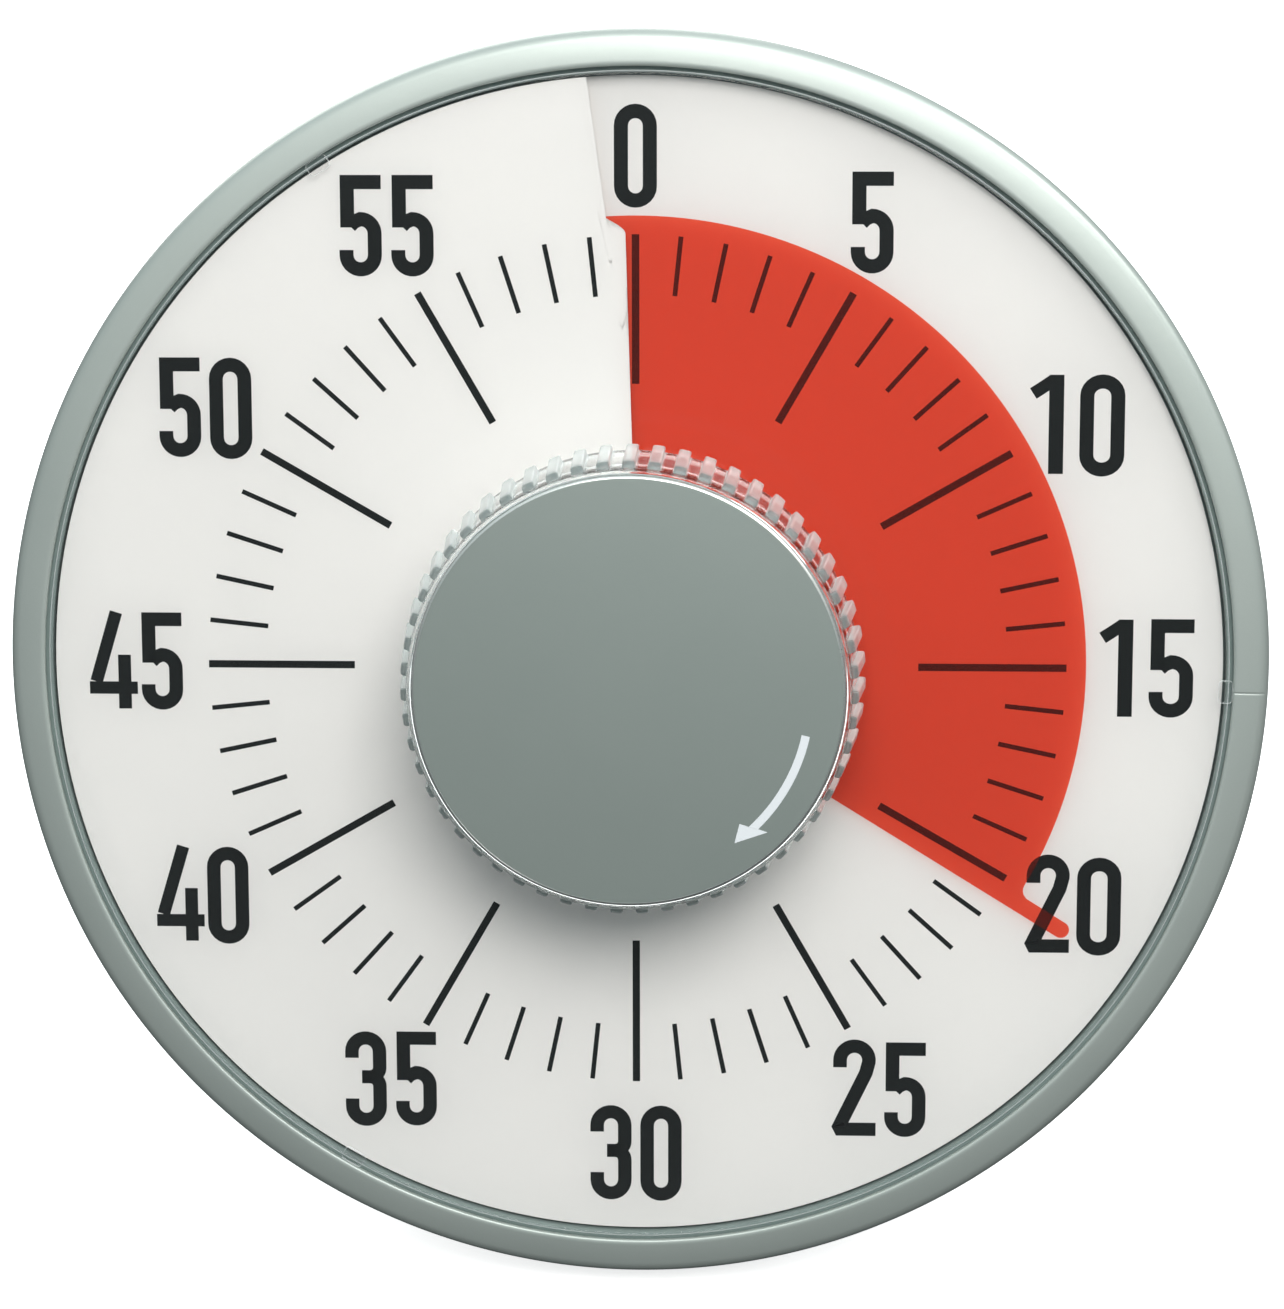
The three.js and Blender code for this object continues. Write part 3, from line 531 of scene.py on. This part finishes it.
def film_rows():
    """Rows of (angle from the pointer, radius), from the tail to the leading edge. Behind the pointer a row
    is a line beside a radius; across the pointer, rows are lines beside its middle, out to a round tip."""
    share = np.linspace(0, 1, 24) ** 1.3
    sweep = np.concatenate((np.linspace(FILM_TAIL, -3, 300), np.linspace(-2.6, -0.02, 12)))
    off_pointer = -sweep * math.pi / 180 * FILM_R
    dip = np.clip(POINTER_FILLET - off_pointer, 0, None)
    rim = FILM_R + POINTER_FILLET - np.sqrt(POINTER_FILLET ** 2 - dip ** 2)
    radius = FILM_HOLE_R + (rim[:, None] - FILM_HOLE_R) * share
    body = np.stack((sweep[:, None] - np.degrees(np.arcsin(POINTER_HALF / radius)), radius), -1)
    side = POINTER_HALF * np.sin(np.linspace(-np.pi / 2, np.pi / 2, 13))[:, None]
    tip = POINTER_R - POINTER_HALF + np.sqrt(np.clip(POINTER_HALF ** 2 - side ** 2, 0, None))
    along = np.sqrt(FILM_HOLE_R ** 2 - side ** 2)
    along = along + (tip - along) * share
    bar = np.stack((np.degrees(np.arctan2(side, along)), np.hypot(side, along)), -1)
    return np.concatenate((body, bar))


def red_film(name):
    """Stained polyester: most light goes straight through and comes out red, the rest scatters in it. It
    lies so close to the dial that it throws no shadow of its own on it."""
    def draw(tap):
        haze = tap.noise(9.0, 3.0)
        stain = tap.node("ShaderNodeBsdfTransparent", values={"Color": (0.995, 0.345, 0.247, 1)})
        cloudy = tap.node("ShaderNodeBsdfPrincipled", values={
            "Base Color": tap.tinted(haze, tone(246, 72, 46), tone(252, 82, 56)),
            "Roughness": 0.3 + tap.noise(1.2, 3.0) * 0.12})
        film = tap.node("ShaderNodeMixShader", values={0: 0.034 + haze * 0.02, 1: stain, 2: cloudy})
        shadow = tap.node("ShaderNodeBsdfTransparent")
        path = tap.node("ShaderNodeLightPath", out="Is Shadow Ray")
        return tap.node("ShaderNodeMixShader", values={0: path, 1: film, 2: shadow})
    return finish(name, draw)


film_plan = film_rows()
film_height = TURN_PITCH * (0.5 + film_plan[..., 0] / 360) + FILM_SHEET / 2
film_grid = plate(on_dial(FILM_ANGLE + film_plan[..., 0], film_plan[..., 1]), film_height, FILM_SHEET)
fitted(solid("red_time_film", film_grid), "knob", "film", red_film("red_film"), "time_film")


# ---- Knob -------------------------------------------------------------------------------------
# A clear acrylic skirt with 55 round ribs to grip, and a satin silver cap pressed into its front, with
# a white arrow printed on it that shows which way to turn. Both sit on the steel spindle.

RIBS = 55
RIB_R = 0.9                                # half a rib's width, and how far it stands out
RIB_TOP = 21.2                             # the ribs end in round noses just behind the front rim
SKIRT_BASE, SKIRT_FRONT = 8.0, 22.9
VALLEY_BASE_R, VALLEY_FRONT_R = 33.45, 32.1
SKIRT_WEB = 17.5
CAP_R = half_width("knob_cap")
CAP_TOP = 23.3
ARROW_R = (26.3, 26.8)                     # at its tail and at its tip
ARROW_TAIL, ARROW_TIP = 103.5, 145.0


def skirt_grid():
    """The skirt's section, turned through angles bunched on its ribs. Outside, its radius grows by
    R * sixth root(1 - (distance from the rib's middle / R)^6), times a nose that falls to zero."""
    nose = RIB_TOP - RIB_R * (1 - np.sin(np.linspace(0, np.pi / 2, 8)))
    outer_height = np.concatenate((np.linspace(SKIRT_BASE + 0.15, RIB_TOP - RIB_R, 8), nose[1:],
                                   [RIB_TOP + 0.25, SKIRT_FRONT - 0.3]))
    outer_r = VALLEY_BASE_R + (VALLEY_FRONT_R - VALLEY_BASE_R) * (
        (outer_height - SKIRT_BASE) / (SKIRT_FRONT - SKIRT_BASE))
    rib_share = np.sqrt(np.clip(1 - np.clip((outer_height - RIB_TOP + RIB_R) / RIB_R, 0, 1) ** 2, 0, 1))
    rim = arc((VALLEY_FRONT_R - 0.3, SKIRT_FRONT - 0.3), 0.3, 60, -90, 6)
    inside = np.array([(CAP_R + 0.3, SKIRT_FRONT - 0.4), (CAP_R + 0.3, SKIRT_WEB), (3.35, SKIRT_WEB),
                       (3.35, 13), (7.5, 13), (7.5, SKIRT_WEB - 1.8), (29.6, SKIRT_WEB - 1.8),
                       (30.4, SKIRT_WEB - 3), (VALLEY_BASE_R - 1.9, SKIRT_BASE),
                       (VALLEY_BASE_R - 0.15, SKIRT_BASE)])
    radius = np.concatenate((outer_r, rim[:, 0], inside[:, 0]))
    height = np.concatenate((outer_height, rim[:, 1], inside[:, 1]))
    swell = np.concatenate((rib_share, np.zeros(len(rim) + len(inside) - 1), [1.0]))
    across = np.concatenate((RIB_R * np.sin(np.linspace(-np.pi / 2, np.pi / 2, 13)), [1.3, 1.9, 2.5]))
    pitch = 360 / RIBS
    angle = (np.arange(RIBS)[:, None] * pitch + np.degrees(across / VALLEY_FRONT_R)).ravel()
    bulge = np.tile(RIB_R * np.clip(1 - (across / RIB_R) ** 6, 0, None) ** (1 / 6), RIBS)
    reach = radius[:, None] + swell[:, None] * bulge
    xy = on_dial(angle, reach)
    return closed(np.concatenate((xy, np.broadcast_to(height[:, None, None], xy.shape[:2] + (1,))), -1))


def rib_shares(mesh):
    """Two attributes of the skirt's points: how much they belong to a rib, 1 on it and 0 between two, and
    how much to its nose, which goes from 0 to 1 over the rib's last stretch."""
    at = np.empty(len(mesh.vertices) * 3)
    mesh.vertices.foreach_get("co", at)
    x, y, z = np.array((TO_THE_RIGHT, UP_THE_DIAL, OUT_OF_DIAL)) @ (at.reshape(-1, 3) - DIAL_MIDDLE).T * 1000
    turns = np.arctan2(x, y) / (2 * np.pi) * RIBS
    across = np.abs((turns + 0.5) % 1 - 0.5) * 2 * np.pi / RIBS * VALLEY_FRONT_R
    rib = np.clip((1.15 - across) / 0.2, 0, 1) * (np.hypot(x, y) > VALLEY_FRONT_R) * (z < RIB_TOP + 0.1)
    # The nose share is the mask for the painted shade on the rib ends.
    nose = rib * np.clip((z - RIB_TOP + 1.1) / 0.5, 0, 1)
    mesh.attributes.new("rib", "FLOAT", "POINT").data.foreach_set("value", rib)
    mesh.attributes.new("nose", "FLOAT", "POINT").data.foreach_set("value", nose)


def clear_acrylic(name):
    """Clear acrylic bends light, and for shadows counts as plain transparent. The ribs are left slightly
    matt by the mould, so they catch some light; their noses are drawn dark grey-green as painted shade."""
    def draw(tap):
        glass = tap.node("ShaderNodeBsdfPrincipled", values={
            "Base Color": tone(250, 252, 251), "Transmission Weight": 1.0, "IOR": 1.49,
            "Roughness": 0.015 + tap.noise(2.0) * 0.03})
        matt = tap.node("ShaderNodeBsdfPrincipled", values={
            "Base Color": tone(206, 214, 212), "Roughness": 0.3 + tap.noise(1.0) * 0.1})
        # The dark grey-green on the rib noses is painted shade, mixed in by the nose share.
        nose_shade = tap.node("ShaderNodeBsdfPrincipled", values={
            "Base Color": tone(58, 73, 71), "Roughness": 0.22 + tap.noise(1.0) * 0.1,
            "Specular IOR Level": 0.25})
        rib = tap.node("ShaderNodeAttribute", {"attribute_name": "rib"}, out="Fac")
        nose = tap.node("ShaderNodeAttribute", {"attribute_name": "nose"}, out="Fac")
        ribbed = tap.node("ShaderNodeMixShader", values={0: rib * 0.42, 1: glass, 2: matt})
        shaded_noses = tap.node("ShaderNodeMixShader", values={0: nose * 0.65, 1: ribbed, 2: nose_shade})
        shadow = tap.node("ShaderNodeBsdfTransparent", values={"Color": (0.93, 0.94, 0.94, 1)})
        path = tap.node("ShaderNodeLightPath", out="Is Shadow Ray")
        return tap.node("ShaderNodeMixShader", values={0: path, 1: shaded_noses, 2: shadow})
    return finish(name, draw)


skirt = solid("knob_ribbed_skirt", skirt_grid(), crease=40)
rib_shares(skirt.data)
fitted(skirt, "knob", "knob_skirt", clear_acrylic("clear_acrylic"), "knob_skirt")

cap_floor = SKIRT_WEB + 0.3
cap_profile = np.concatenate(([(0, CAP_TOP)], arc((CAP_R - 0.55, CAP_TOP - 0.55), 0.55, 0, 90, 10),
                              arc((CAP_R - 0.2, cap_floor + 0.2), 0.2, 90, 180, 4),
                              [(CAP_R - 1.8, cap_floor), (CAP_R - 1.8, CAP_TOP - 1.8), (0, CAP_TOP - 1.8)]))
cap_silver = silver_paint("cap_silver", tone(143, 152, 147), tone(153, 161, 156), 0.5, 0.42)
fitted(solid("knob_satin_cap", turned(cap_profile)), "knob", "knob_cap", cap_silver, "knob_cap")

# A thin ring on the cap's rounded edge, in a lighter and glossier copy of the cap's silver, is a painted
# highlight along the rim.
rim_profile = np.concatenate((arc((CAP_R - 0.5, CAP_TOP - 0.5), 0.52, 12, 84, 8),
                              [(CAP_R - 0.2, CAP_TOP - 0.8), (CAP_R - 0.7, CAP_TOP - 0.3)]))
rim_highlight_silver = silver_paint("rim_highlight_silver", tone(206, 208, 205), tone(216, 218, 214), 0.9, 0.3)
fitted(solid("knob_rim_highlight", turned(closed(rim_profile))), "knob", "knob_cap", rim_highlight_silver)

arrow_angle = np.append(np.linspace(ARROW_TAIL, ARROW_TIP - 7.6, 24), (ARROW_TIP - 7.58, ARROW_TIP))
arrow_width = np.append(np.full(24, 1.2), (3.5, 0.02))
arrow = stroke(on_dial(arrow_angle, np.linspace(*ARROW_R, 26)), arrow_width, lambda flat: CAP_TOP)
white_ink = plastic("white_ink", tone(222, 226, 229), tone(230, 233, 236), 0.5, 0.3, 0.003)
fitted(solid("knob_arrow", arrow), "knob", "dial", white_ink)


# ---- Rear shell -------------------------------------------------------------------------------
# The back is a round bowl moulded in grey ABS with a fine spark-eroded grain. It has a recess for the
# battery door, a slot for the volume button, a rose of sound holes, and lugs and a foot for standing.

SHELL_R = 94.2
SHELL_RIM, SHELL_TURN, SHELL_BACK = -3.3, -10.0, -22.0
SHELL_FLAT_R = 84.0
SHELL_WALL = 2.4
BEHIND, THROUGH = -26.0, -17.0             # where a cutter starts, and where one that goes through ends
RECESS_FLOOR, POCKET_FLOOR = -20.3, -18.5
SOUND_AT, SOUND_HOLE_R, ROSE_R = (56.0, 6.0), 1.2, 5.0
SCREW_POCKET_R = 3.6
SCREWS_AT = ((55, 55), (-55, 55), (55, -55), (-55, -55))


def circle(middle, radius, steps=25):
    """A circle's outline, counter-clockwise."""
    return arc(middle, radius, 0, -360, steps)[:-1]


def on_level(points):
    """Points in millimetres, x right, y back and z up from the dial's middle, placed in metres."""
    return DIAL_MIDDLE + points / 1000


def carved(piece, cutters, place=on_clock, edge_mm=0.25):
    """Takes the cutters out of the piece and rounds the edges that are left."""
    tool = solid("cutter", *cutters, place=place)
    cut = piece.modifiers.new("cut", "BOOLEAN")
    cut.solver, cut.use_self, cut.object = "EXACT", True, tool
    if edge_mm:
        edges = piece.modifiers.new("edges", "BEVEL")
        edges.width, edges.segments, edges.limit_method = edge_mm / 1000, 2, "ANGLE"
        edges.angle_limit = math.radians(40)
    piece.modifiers.new("flat_faces_flat", "WEIGHTED_NORMAL").keep_sharp = True
    whole = piece.evaluated_get(bpy.context.evaluated_depsgraph_get())
    mesh = bpy.data.meshes.new_from_object(whole)
    piece.modifiers.clear()
    piece.data = mesh
    bpy.data.objects.remove(tool)
    return piece


turn_size = np.array((SHELL_R - SHELL_FLAT_R, SHELL_BACK - SHELL_TURN))
bowl = np.concatenate((
    [(0, SHELL_BACK)],
    arc((SHELL_FLAT_R, SHELL_TURN), turn_size, 0, 90, 16),
    arc((SHELL_R - 0.3, SHELL_RIM - 0.3), 0.3, 90, 0, 4),
    [(SHELL_R - SHELL_WALL, SHELL_RIM)],
    arc((SHELL_FLAT_R - 1, SHELL_TURN), turn_size + (1 - SHELL_WALL, SHELL_WALL), 90, 0, 12),
    [(0, SHELL_BACK + SHELL_WALL)]))
rose = [(0, 0)] + [(angle, ROSE_R) for angle in range(0, 360, 60)]
holes = [slab(circle(np.array(SOUND_AT) + on_dial(angle, radius), SOUND_HOLE_R), BEHIND, THROUGH)
         for angle, radius in rose]
counterbores = [slab(circle(at, SCREW_POCKET_R), BEHIND, POCKET_FLOOR, 0.2) for at in SCREWS_AT]
door_recess = slab(rectangle(-33.3, 30.7, 33.3, 63.8, 1.2), BEHIND, RECESS_FLOOR, 0.1)
doorway = slab(rectangle(-29, 35, 29, 53, 1.5), BEHIND, THROUGH, 0.1)
button_slot = slab(rectangle(-62.4, 4, -53.2, 8, 0.8), BEHIND, THROUGH, 0.1)
shell_grey = plastic("shell_grey", tone(120, 127, 125), tone(132, 139, 137), 0.52, 0.35, 0.03)
shell = carved(solid("shell_bowl", turned(bowl, np.arange(0, 360, 2.0))),
               holes + counterbores + [door_recess, doorway, button_slot])
fitted(shell, "housing", "shell", shell_grey, "rear_shell")

PIVOT_Y, PIVOT_Z = -68.0, -25.5            # the stand's axis, in clock millimetres
LUG_X, LUG_HALF = 47.55, 1.75
FOOT_SOLE, FOOT_TOP = -94.4, -86.0


def sideways(outline, x_low, x_high, edge=0.3):
    """A slab whose outline lies in the (y, z) plane and which runs across in x."""
    return slab(outline, x_low, x_high, edge)[..., [2, 0, 1]]


lug = filleted([(PIVOT_Y - 4, PIVOT_Z - 4, 3.99), (PIVOT_Y + 4, PIVOT_Z - 4, 3.99),
                (PIVOT_Y + 5.5, SHELL_BACK + 1.5, 0.8), (PIVOT_Y - 5.5, SHELL_BACK + 1.5, 0.8)], 8)
lugs = [sideways(lug, side * LUG_X - LUG_HALF, side * LUG_X + LUG_HALF) for side in (-1, 1)]
fitted(solid("stand_lugs", *lugs), "housing", "shell", shell_grey)

foot = slab(rectangle(-13, -10.2, 13, -2.2, 1.5), FOOT_SOLE, FOOT_TOP)
fitted(solid("shell_foot", foot, place=on_level), "housing", "shell", shell_grey)


# ---- Housing screws and pads ----------------------------------------------------------------
# Four zinc-plated cross-head screws hold the shell to the ring's bosses, deep in round pockets. Two
# moulded rubber pads under the foot keep the timer from sliding.

HEAD_R, SHANK_R = 3.2, 1.4
HEAD_TOP, HEAD_SEAT, SHANK_END = -21.2, -18.9, -2.1
PAD_TOP, PAD_SOLE = -94.4, -95.6           # heights from the dial's middle, as the toe strip's are


def metal(name, dark, light, roughness, brushed_mm, stretch=(1, 1, 1), depth_mm=0.004):
    """Bare metal, with a fine grain that is drawn out in one direction where it was brushed or turned."""
    def draw(tap):
        grain = tap.noise(brushed_mm, 3.0, stretch)
        return tap.node("ShaderNodeBsdfPrincipled", values={
            "Base Color": tap.tinted(tap.noise(6), dark, light), "Metallic": 1.0,
            "Roughness": roughness + (grain - 0.5) * 0.2, "Normal": tap.bumped(grain, depth_mm)})
    return finish(name, draw)


screw_profile = np.concatenate((
    [(0, HEAD_TOP)],
    arc((HEAD_R - 0.9, HEAD_TOP + 0.9), 0.9, 180, 90, 6),
    [(HEAD_R, HEAD_SEAT), (SHANK_R, HEAD_SEAT), (SHANK_R, SHANK_END), (0, SHANK_END)]))
screws = [turned(screw_profile, np.arange(0, 360, 12)) + (x, y, 0) for x, y in SCREWS_AT]
crosses = [slab(rectangle(x - wide, y - high, x + wide, y + high, 0.1), -22, -20.4, 0.05)
           for x, y in SCREWS_AT for wide, high in ((1.7, 0.35), (0.35, 1.7))]
plated_steel = metal("plated_steel", tone(176, 180, 180), tone(196, 198, 196), 0.34, 0.3)
fitted(carved(solid("shell_screws", *screws), crosses, edge_mm=0), "housing", "steel", plated_steel,
       *("housing_screw_" + str(number) for number in (1, 2, 3, 4)))

dark_rubber = plastic("dark_rubber", tone(38, 40, 41), tone(48, 50, 50), 0.75, 0.4, 0.03, 0.3)
front_pads = [slab(rectangle(x - 4.5, -9.6, x + 4.5, -2.8, 1.0), PAD_SOLE, PAD_TOP, 0.25)
              for x in (-7.5, 7.5)]
fitted(solid("foot_pads", *front_pads, place=on_level), "housing", "rubber", dark_rubber,
       "front_pad_left", "front_pad_right")


# ---- Battery door and volume button ---------------------------------------------------------
# The door is a flat ABS panel that slides up in its recess; five raised ribs give the thumb a grip. The
# black button slides in its slot and sets the alarm to loud or quiet.

DOOR_INSIDE = -20.5
DOOR_RIB_HEIGHT, DOOR_RIB_WIDTH, FIRST_RIB_Y = 0.4, 0.5, 50.8
BUTTON_TOP, BUTTON_ROOT = -23.0, -19.0
BUTTON_LEFT, BUTTON_RIGHT = -58.0, -53.6
RIDGES, RIDGE_STEP, RIDGE_DEPTH = 11, 0.44, 0.35

door_panel = slab(rectangle(-33, 31, 33, 57, 1.0), SHELL_BACK, DOOR_INSIDE, 0.2)
door_ribs = [slab(rectangle(-10, FIRST_RIB_Y + step, 10, FIRST_RIB_Y + DOOR_RIB_WIDTH + step, 0.2, 3),
                  SHELL_BACK - DOOR_RIB_HEIGHT, SHELL_BACK + 0.2, 0.12) for step in range(5)]
fitted(solid("sliding_door", door_panel, *door_ribs), "battery_door", "shell", shell_grey, "battery_door")

ridges = [(BUTTON_LEFT + RIDGE_STEP * step, BUTTON_TOP + RIDGE_DEPTH * (step % 2)) for step in range(RIDGES)]
button_outline = np.array([(BUTTON_LEFT, BUTTON_ROOT)] + ridges + [(BUTTON_RIGHT, BUTTON_ROOT)])
button = slab(button_outline, 4.3, 7.7, 0.05)[..., [0, 2, 1]]
flange = slab(rectangle(-60, 2.6, -51.6, 9.4, 0.4), BUTTON_ROOT - 0.1, -17.5, 0.15)
matt_black = plastic("matt_black", tone(30, 32, 33), tone(38, 40, 41), 0.5, 0.5, 0.02)
fitted(solid("loudness_button", button, flange), "volume_button", "black_plastic", matt_black,
       "volume_button")


# ---- Stand ------------------------------------------------------------------------------------
# A moulded ABS frame hinges on two steel pins between the lugs and folds out behind. It narrows to a
# toe with a rubber strip under it, and a wide window leaves room for fingers.

LEG_TIP, LEG_SOLE = 66.8, -94.1
LEG_HALF_THICK = 1.5
KNUCKLE_R, KNUCKLE_X, KNUCKLE_HALF = 3.4, 37.5, 7.5
LEAN = math.radians(12)                    # how far the dial leans back
HINGE = (PIVOT_Y * math.sin(LEAN) - PIVOT_Z * math.cos(LEAN),
         PIVOT_Y * math.cos(LEAN) + PIVOT_Z * math.sin(LEAN))
leg_slope = math.atan2(HINGE[1] - LEG_SOLE - 3, 48)
thick_y, thick_z = LEG_HALF_THICK * math.sin(leg_slope), LEG_HALF_THICK * math.cos(leg_slope)
leg_outline = filleted([
    (HINGE[0] - thick_y, HINGE[1] - thick_z, 0.8), (LEG_TIP - 14, LEG_SOLE, 6), (LEG_TIP, LEG_SOLE, 0.5),
    (LEG_TIP, LEG_SOLE + 2, 0.6), (LEG_TIP - 1, LEG_SOLE + 3.4, 0.7), (LEG_TIP - 6, LEG_SOLE + 4.2, 6),
    (HINGE[0] + thick_y, HINGE[1] + thick_z, 0.8)])
leg = solid("stand_frame", sideways(leg_outline, -45, 45, 0.4),
            *(sideways(circle(HINGE, KNUCKLE_R), side * KNUCKLE_X - KNUCKLE_HALF,
                       side * KNUCKLE_X + KNUCKLE_HALF, 0.4) for side in (-1, 1)),
            place=on_level)
window = slab(rectangle(-30, HINGE[0] + 12, 30, LEG_TIP - 20, 4.0), -120, -60)
hinge_gap = slab(rectangle(-30, HINGE[0] - 6, 30, HINGE[0] + 3.5, 0.4), HINGE[1] - 6, HINGE[1] + 6)
fitted(carved(leg, [window, hinge_gap], on_level, 0.35), "stand", "shell", shell_grey, "stand")

toe_pad = slab(rectangle(-41, LEG_TIP - 11, 41, LEG_TIP - 1, 1.0), PAD_SOLE, LEG_SOLE - 0.3, 0.25)
fitted(solid("toe_strip", toe_pad, place=on_level), "stand", "rubber", dark_rubber, "stand_pad")


# ---- Movement, battery and sounder ----------------------------------------------------------
# Inside, a quartz movement in a two-part moulded case turns the spindle; one cell in a box drives it and
# the piezo sounder. Metal parts are stamped or turned, and the leads are thin stranded wire.

def dressed(coat, *names):
    """Gives inner pieces their finish as they stand."""
    for name in names:
        data = frame["nodes"][name].data
        data.materials.clear()
        data.materials.append(coat)


def labelled_cell(tap):
    """A cell's printed sleeve between two bare ends: which one shows depends on the place along it."""
    where = tap.node("ShaderNodeTexCoord", out="Object")
    along = tap.node("ShaderNodeSeparateXYZ", values={0: where}, out=0)
    sleeve = tap.node("ShaderNodeValToRGB", {"stops": ((0.50, 1.0), (0.51, 0.0))}, {0: along * 12 + 0.3})
    colour = tap.tinted(sleeve, tone(196, 122, 60), tone(40, 44, 48))
    return tap.node("ShaderNodeBsdfPrincipled", values={
        "Base Color": colour, "Metallic": 0.6, "Roughness": 0.25 + tap.noise(2.0) * 0.1})


turned_steel = metal("turned_steel", tone(190, 192, 192), tone(206, 208, 206), 0.24, 0.2, (1, 1, 12))
spring_steel = metal("spring_steel", tone(150, 152, 150), tone(178, 180, 176), 0.3, 0.25, (10, 1, 1))
brass = metal("brass", tone(196, 164, 92), tone(214, 184, 112), 0.28, 0.3)
copper_wire = metal("copper_wire", tone(178, 96, 60), tone(206, 126, 84), 0.36, 0.15, (1, 1, 14), 0.03)
case_plastic = plastic("case_plastic", tone(66, 70, 72), tone(76, 80, 82), 0.48, 0.5, 0.02)
board_green = plastic("board_green", tone(26, 92, 62), tone(34, 106, 72), 0.35, 0.8, 0.01)
red_wire = plastic("red_wire", tone(184, 36, 34), tone(198, 44, 40), 0.42, 0.5, 0.006)
dressed(turned_steel, "spindle", "stand_pin_left", "stand_pin_right")
dressed(spring_steel, "spindle_clip", "clutch_washer", "contact_plate", "contact_spring", "stator", "crystal")
dressed(plated_steel, *("movement_screw_" + str(number) for number in (1, 2, 3, 4)))
dressed(brass, "zero_contact", "sounder", "centre_wheel")
dressed(copper_wire, "drive_coil")
dressed(case_plastic, "movement_case_front", "movement_case_back")
dressed(board_green, "circuit_board")
dressed(matt_black, "timer_chip", "sounder_holder", "volume_switch", "battery_box", "battery_lead_minus",
        "sounder_lead_black", "rotor")
dressed(red_wire, "battery_lead_plus", "sounder_lead_red")
acetal = plastic("white_acetal", tone(206, 208, 202), tone(216, 218, 212), 0.45, 0.9, 0.01)
dressed(acetal, "film_hub", "second_wheel")
dressed(finish("cell_sleeve", labelled_cell), "battery_cell")


# ---- Studio -----------------------------------------------------------------------------------
# A pale floor, a large soft key light above the front, a second one high on the right and a weak one
# behind, under a cool sky that darkens downwards. The camera looks a little down on the dial.

floor_mesh = bpy.data.meshes.new("floor")
floor_mesh.from_pydata([(-4, -4, 0), (4, -4, 0), (4, 4, 0), (-4, 4, 0)], [], [(0, 1, 2, 3)])
floor = bpy.data.objects.new("floor", floor_mesh)
bpy.context.collection.objects.link(floor)
floor.data.materials.append(finish("pale_floor", lambda tap: tap.node(
    "ShaderNodeBsdfPrincipled", values={"Base Color": (0.94, 0.94, 0.925, 1), "Roughness": 0.9,
                                        "Emission Color": (1, 1, 1, 1), "Emission Strength": 0.75})))
floor.visible_glossy = False
floor.visible_diffuse = False

sky = bpy.data.worlds.new("studio")
bpy.context.scene.world = sky
sky.use_nodes = True
sky.node_tree.nodes.clear()
air = Tap(sky.node_tree)
upward = air.node("ShaderNodeSeparateXYZ", values={0: air.node("ShaderNodeTexCoord", out="Generated")}, out=2)
level = (upward * 0.5 + 0.5) ** 3 * 1.3 + 0.09
cool = air.tinted(level, (0, 0, 0, 1), (0.89, 1.0, 1.03, 1))
glow = air.node("ShaderNodeBackground", values={"Color": cool})
white = air.node("ShaderNodeBackground", values={"Color": (1, 1, 1, 1)})
straight = air.node("ShaderNodeLightPath", out="Is Camera Ray")
seen = air.node("ShaderNodeMixShader", values={0: straight, 1: glow, 2: white})
air.node("ShaderNodeOutputWorld", values={"Surface": seen})


def soft_light(name, at, width, height, watts):
    """A soft, slightly warm box light that faces the dial's middle from a clock point in millimetres."""
    lamp = bpy.data.lights.new(name, "AREA")
    lamp.color = (1.0, 0.985, 0.965)
    lamp.shape = "RECTANGLE"
    lamp.size, lamp.size_y, lamp.energy = width, height, watts
    box = bpy.data.objects.new(name, lamp)
    box.location = on_clock(at)
    box.rotation_euler = Vector(on_clock(at) - DIAL_MIDDLE).to_track_quat("Z", "Y").to_euler()
    bpy.context.collection.objects.link(box)


soft_light("key", (220, 740, 1180), 0.9, 0.7, 14.0)
soft_light("overhead", (680, 680, 240), 0.7, 0.5, 4.1)
soft_light("behind", (-250, 500, -800), 0.7, 0.5, 3)

CAMERA_AT = (26.16, 90.10, 535.95)         # clock millimetres
CAMERA_AIM = (0.93, 1.75, 0.0)
CAMERA_ROLL = math.radians(-0.073)
LENS_TO_SENSOR = 2.7695

camera_data = bpy.data.cameras.new("camera")
camera_data.lens = LENS_TO_SENSOR * camera_data.sensor_width
camera = bpy.data.objects.new("camera", camera_data)
back = Vector(on_clock(CAMERA_AT) - on_clock(CAMERA_AIM)).normalized()
right = Vector(UP_THE_DIAL).cross(back).normalized()
turn = Matrix((right, back.cross(right), back)).transposed() @ Matrix.Rotation(CAMERA_ROLL, 3, "Z")
camera.matrix_world = Matrix.Translation(on_clock(CAMERA_AT)) @ turn.to_4x4()
bpy.context.collection.objects.link(camera)
bpy.context.scene.camera = camera
bpy.context.scene.view_settings.view_transform = "Standard"
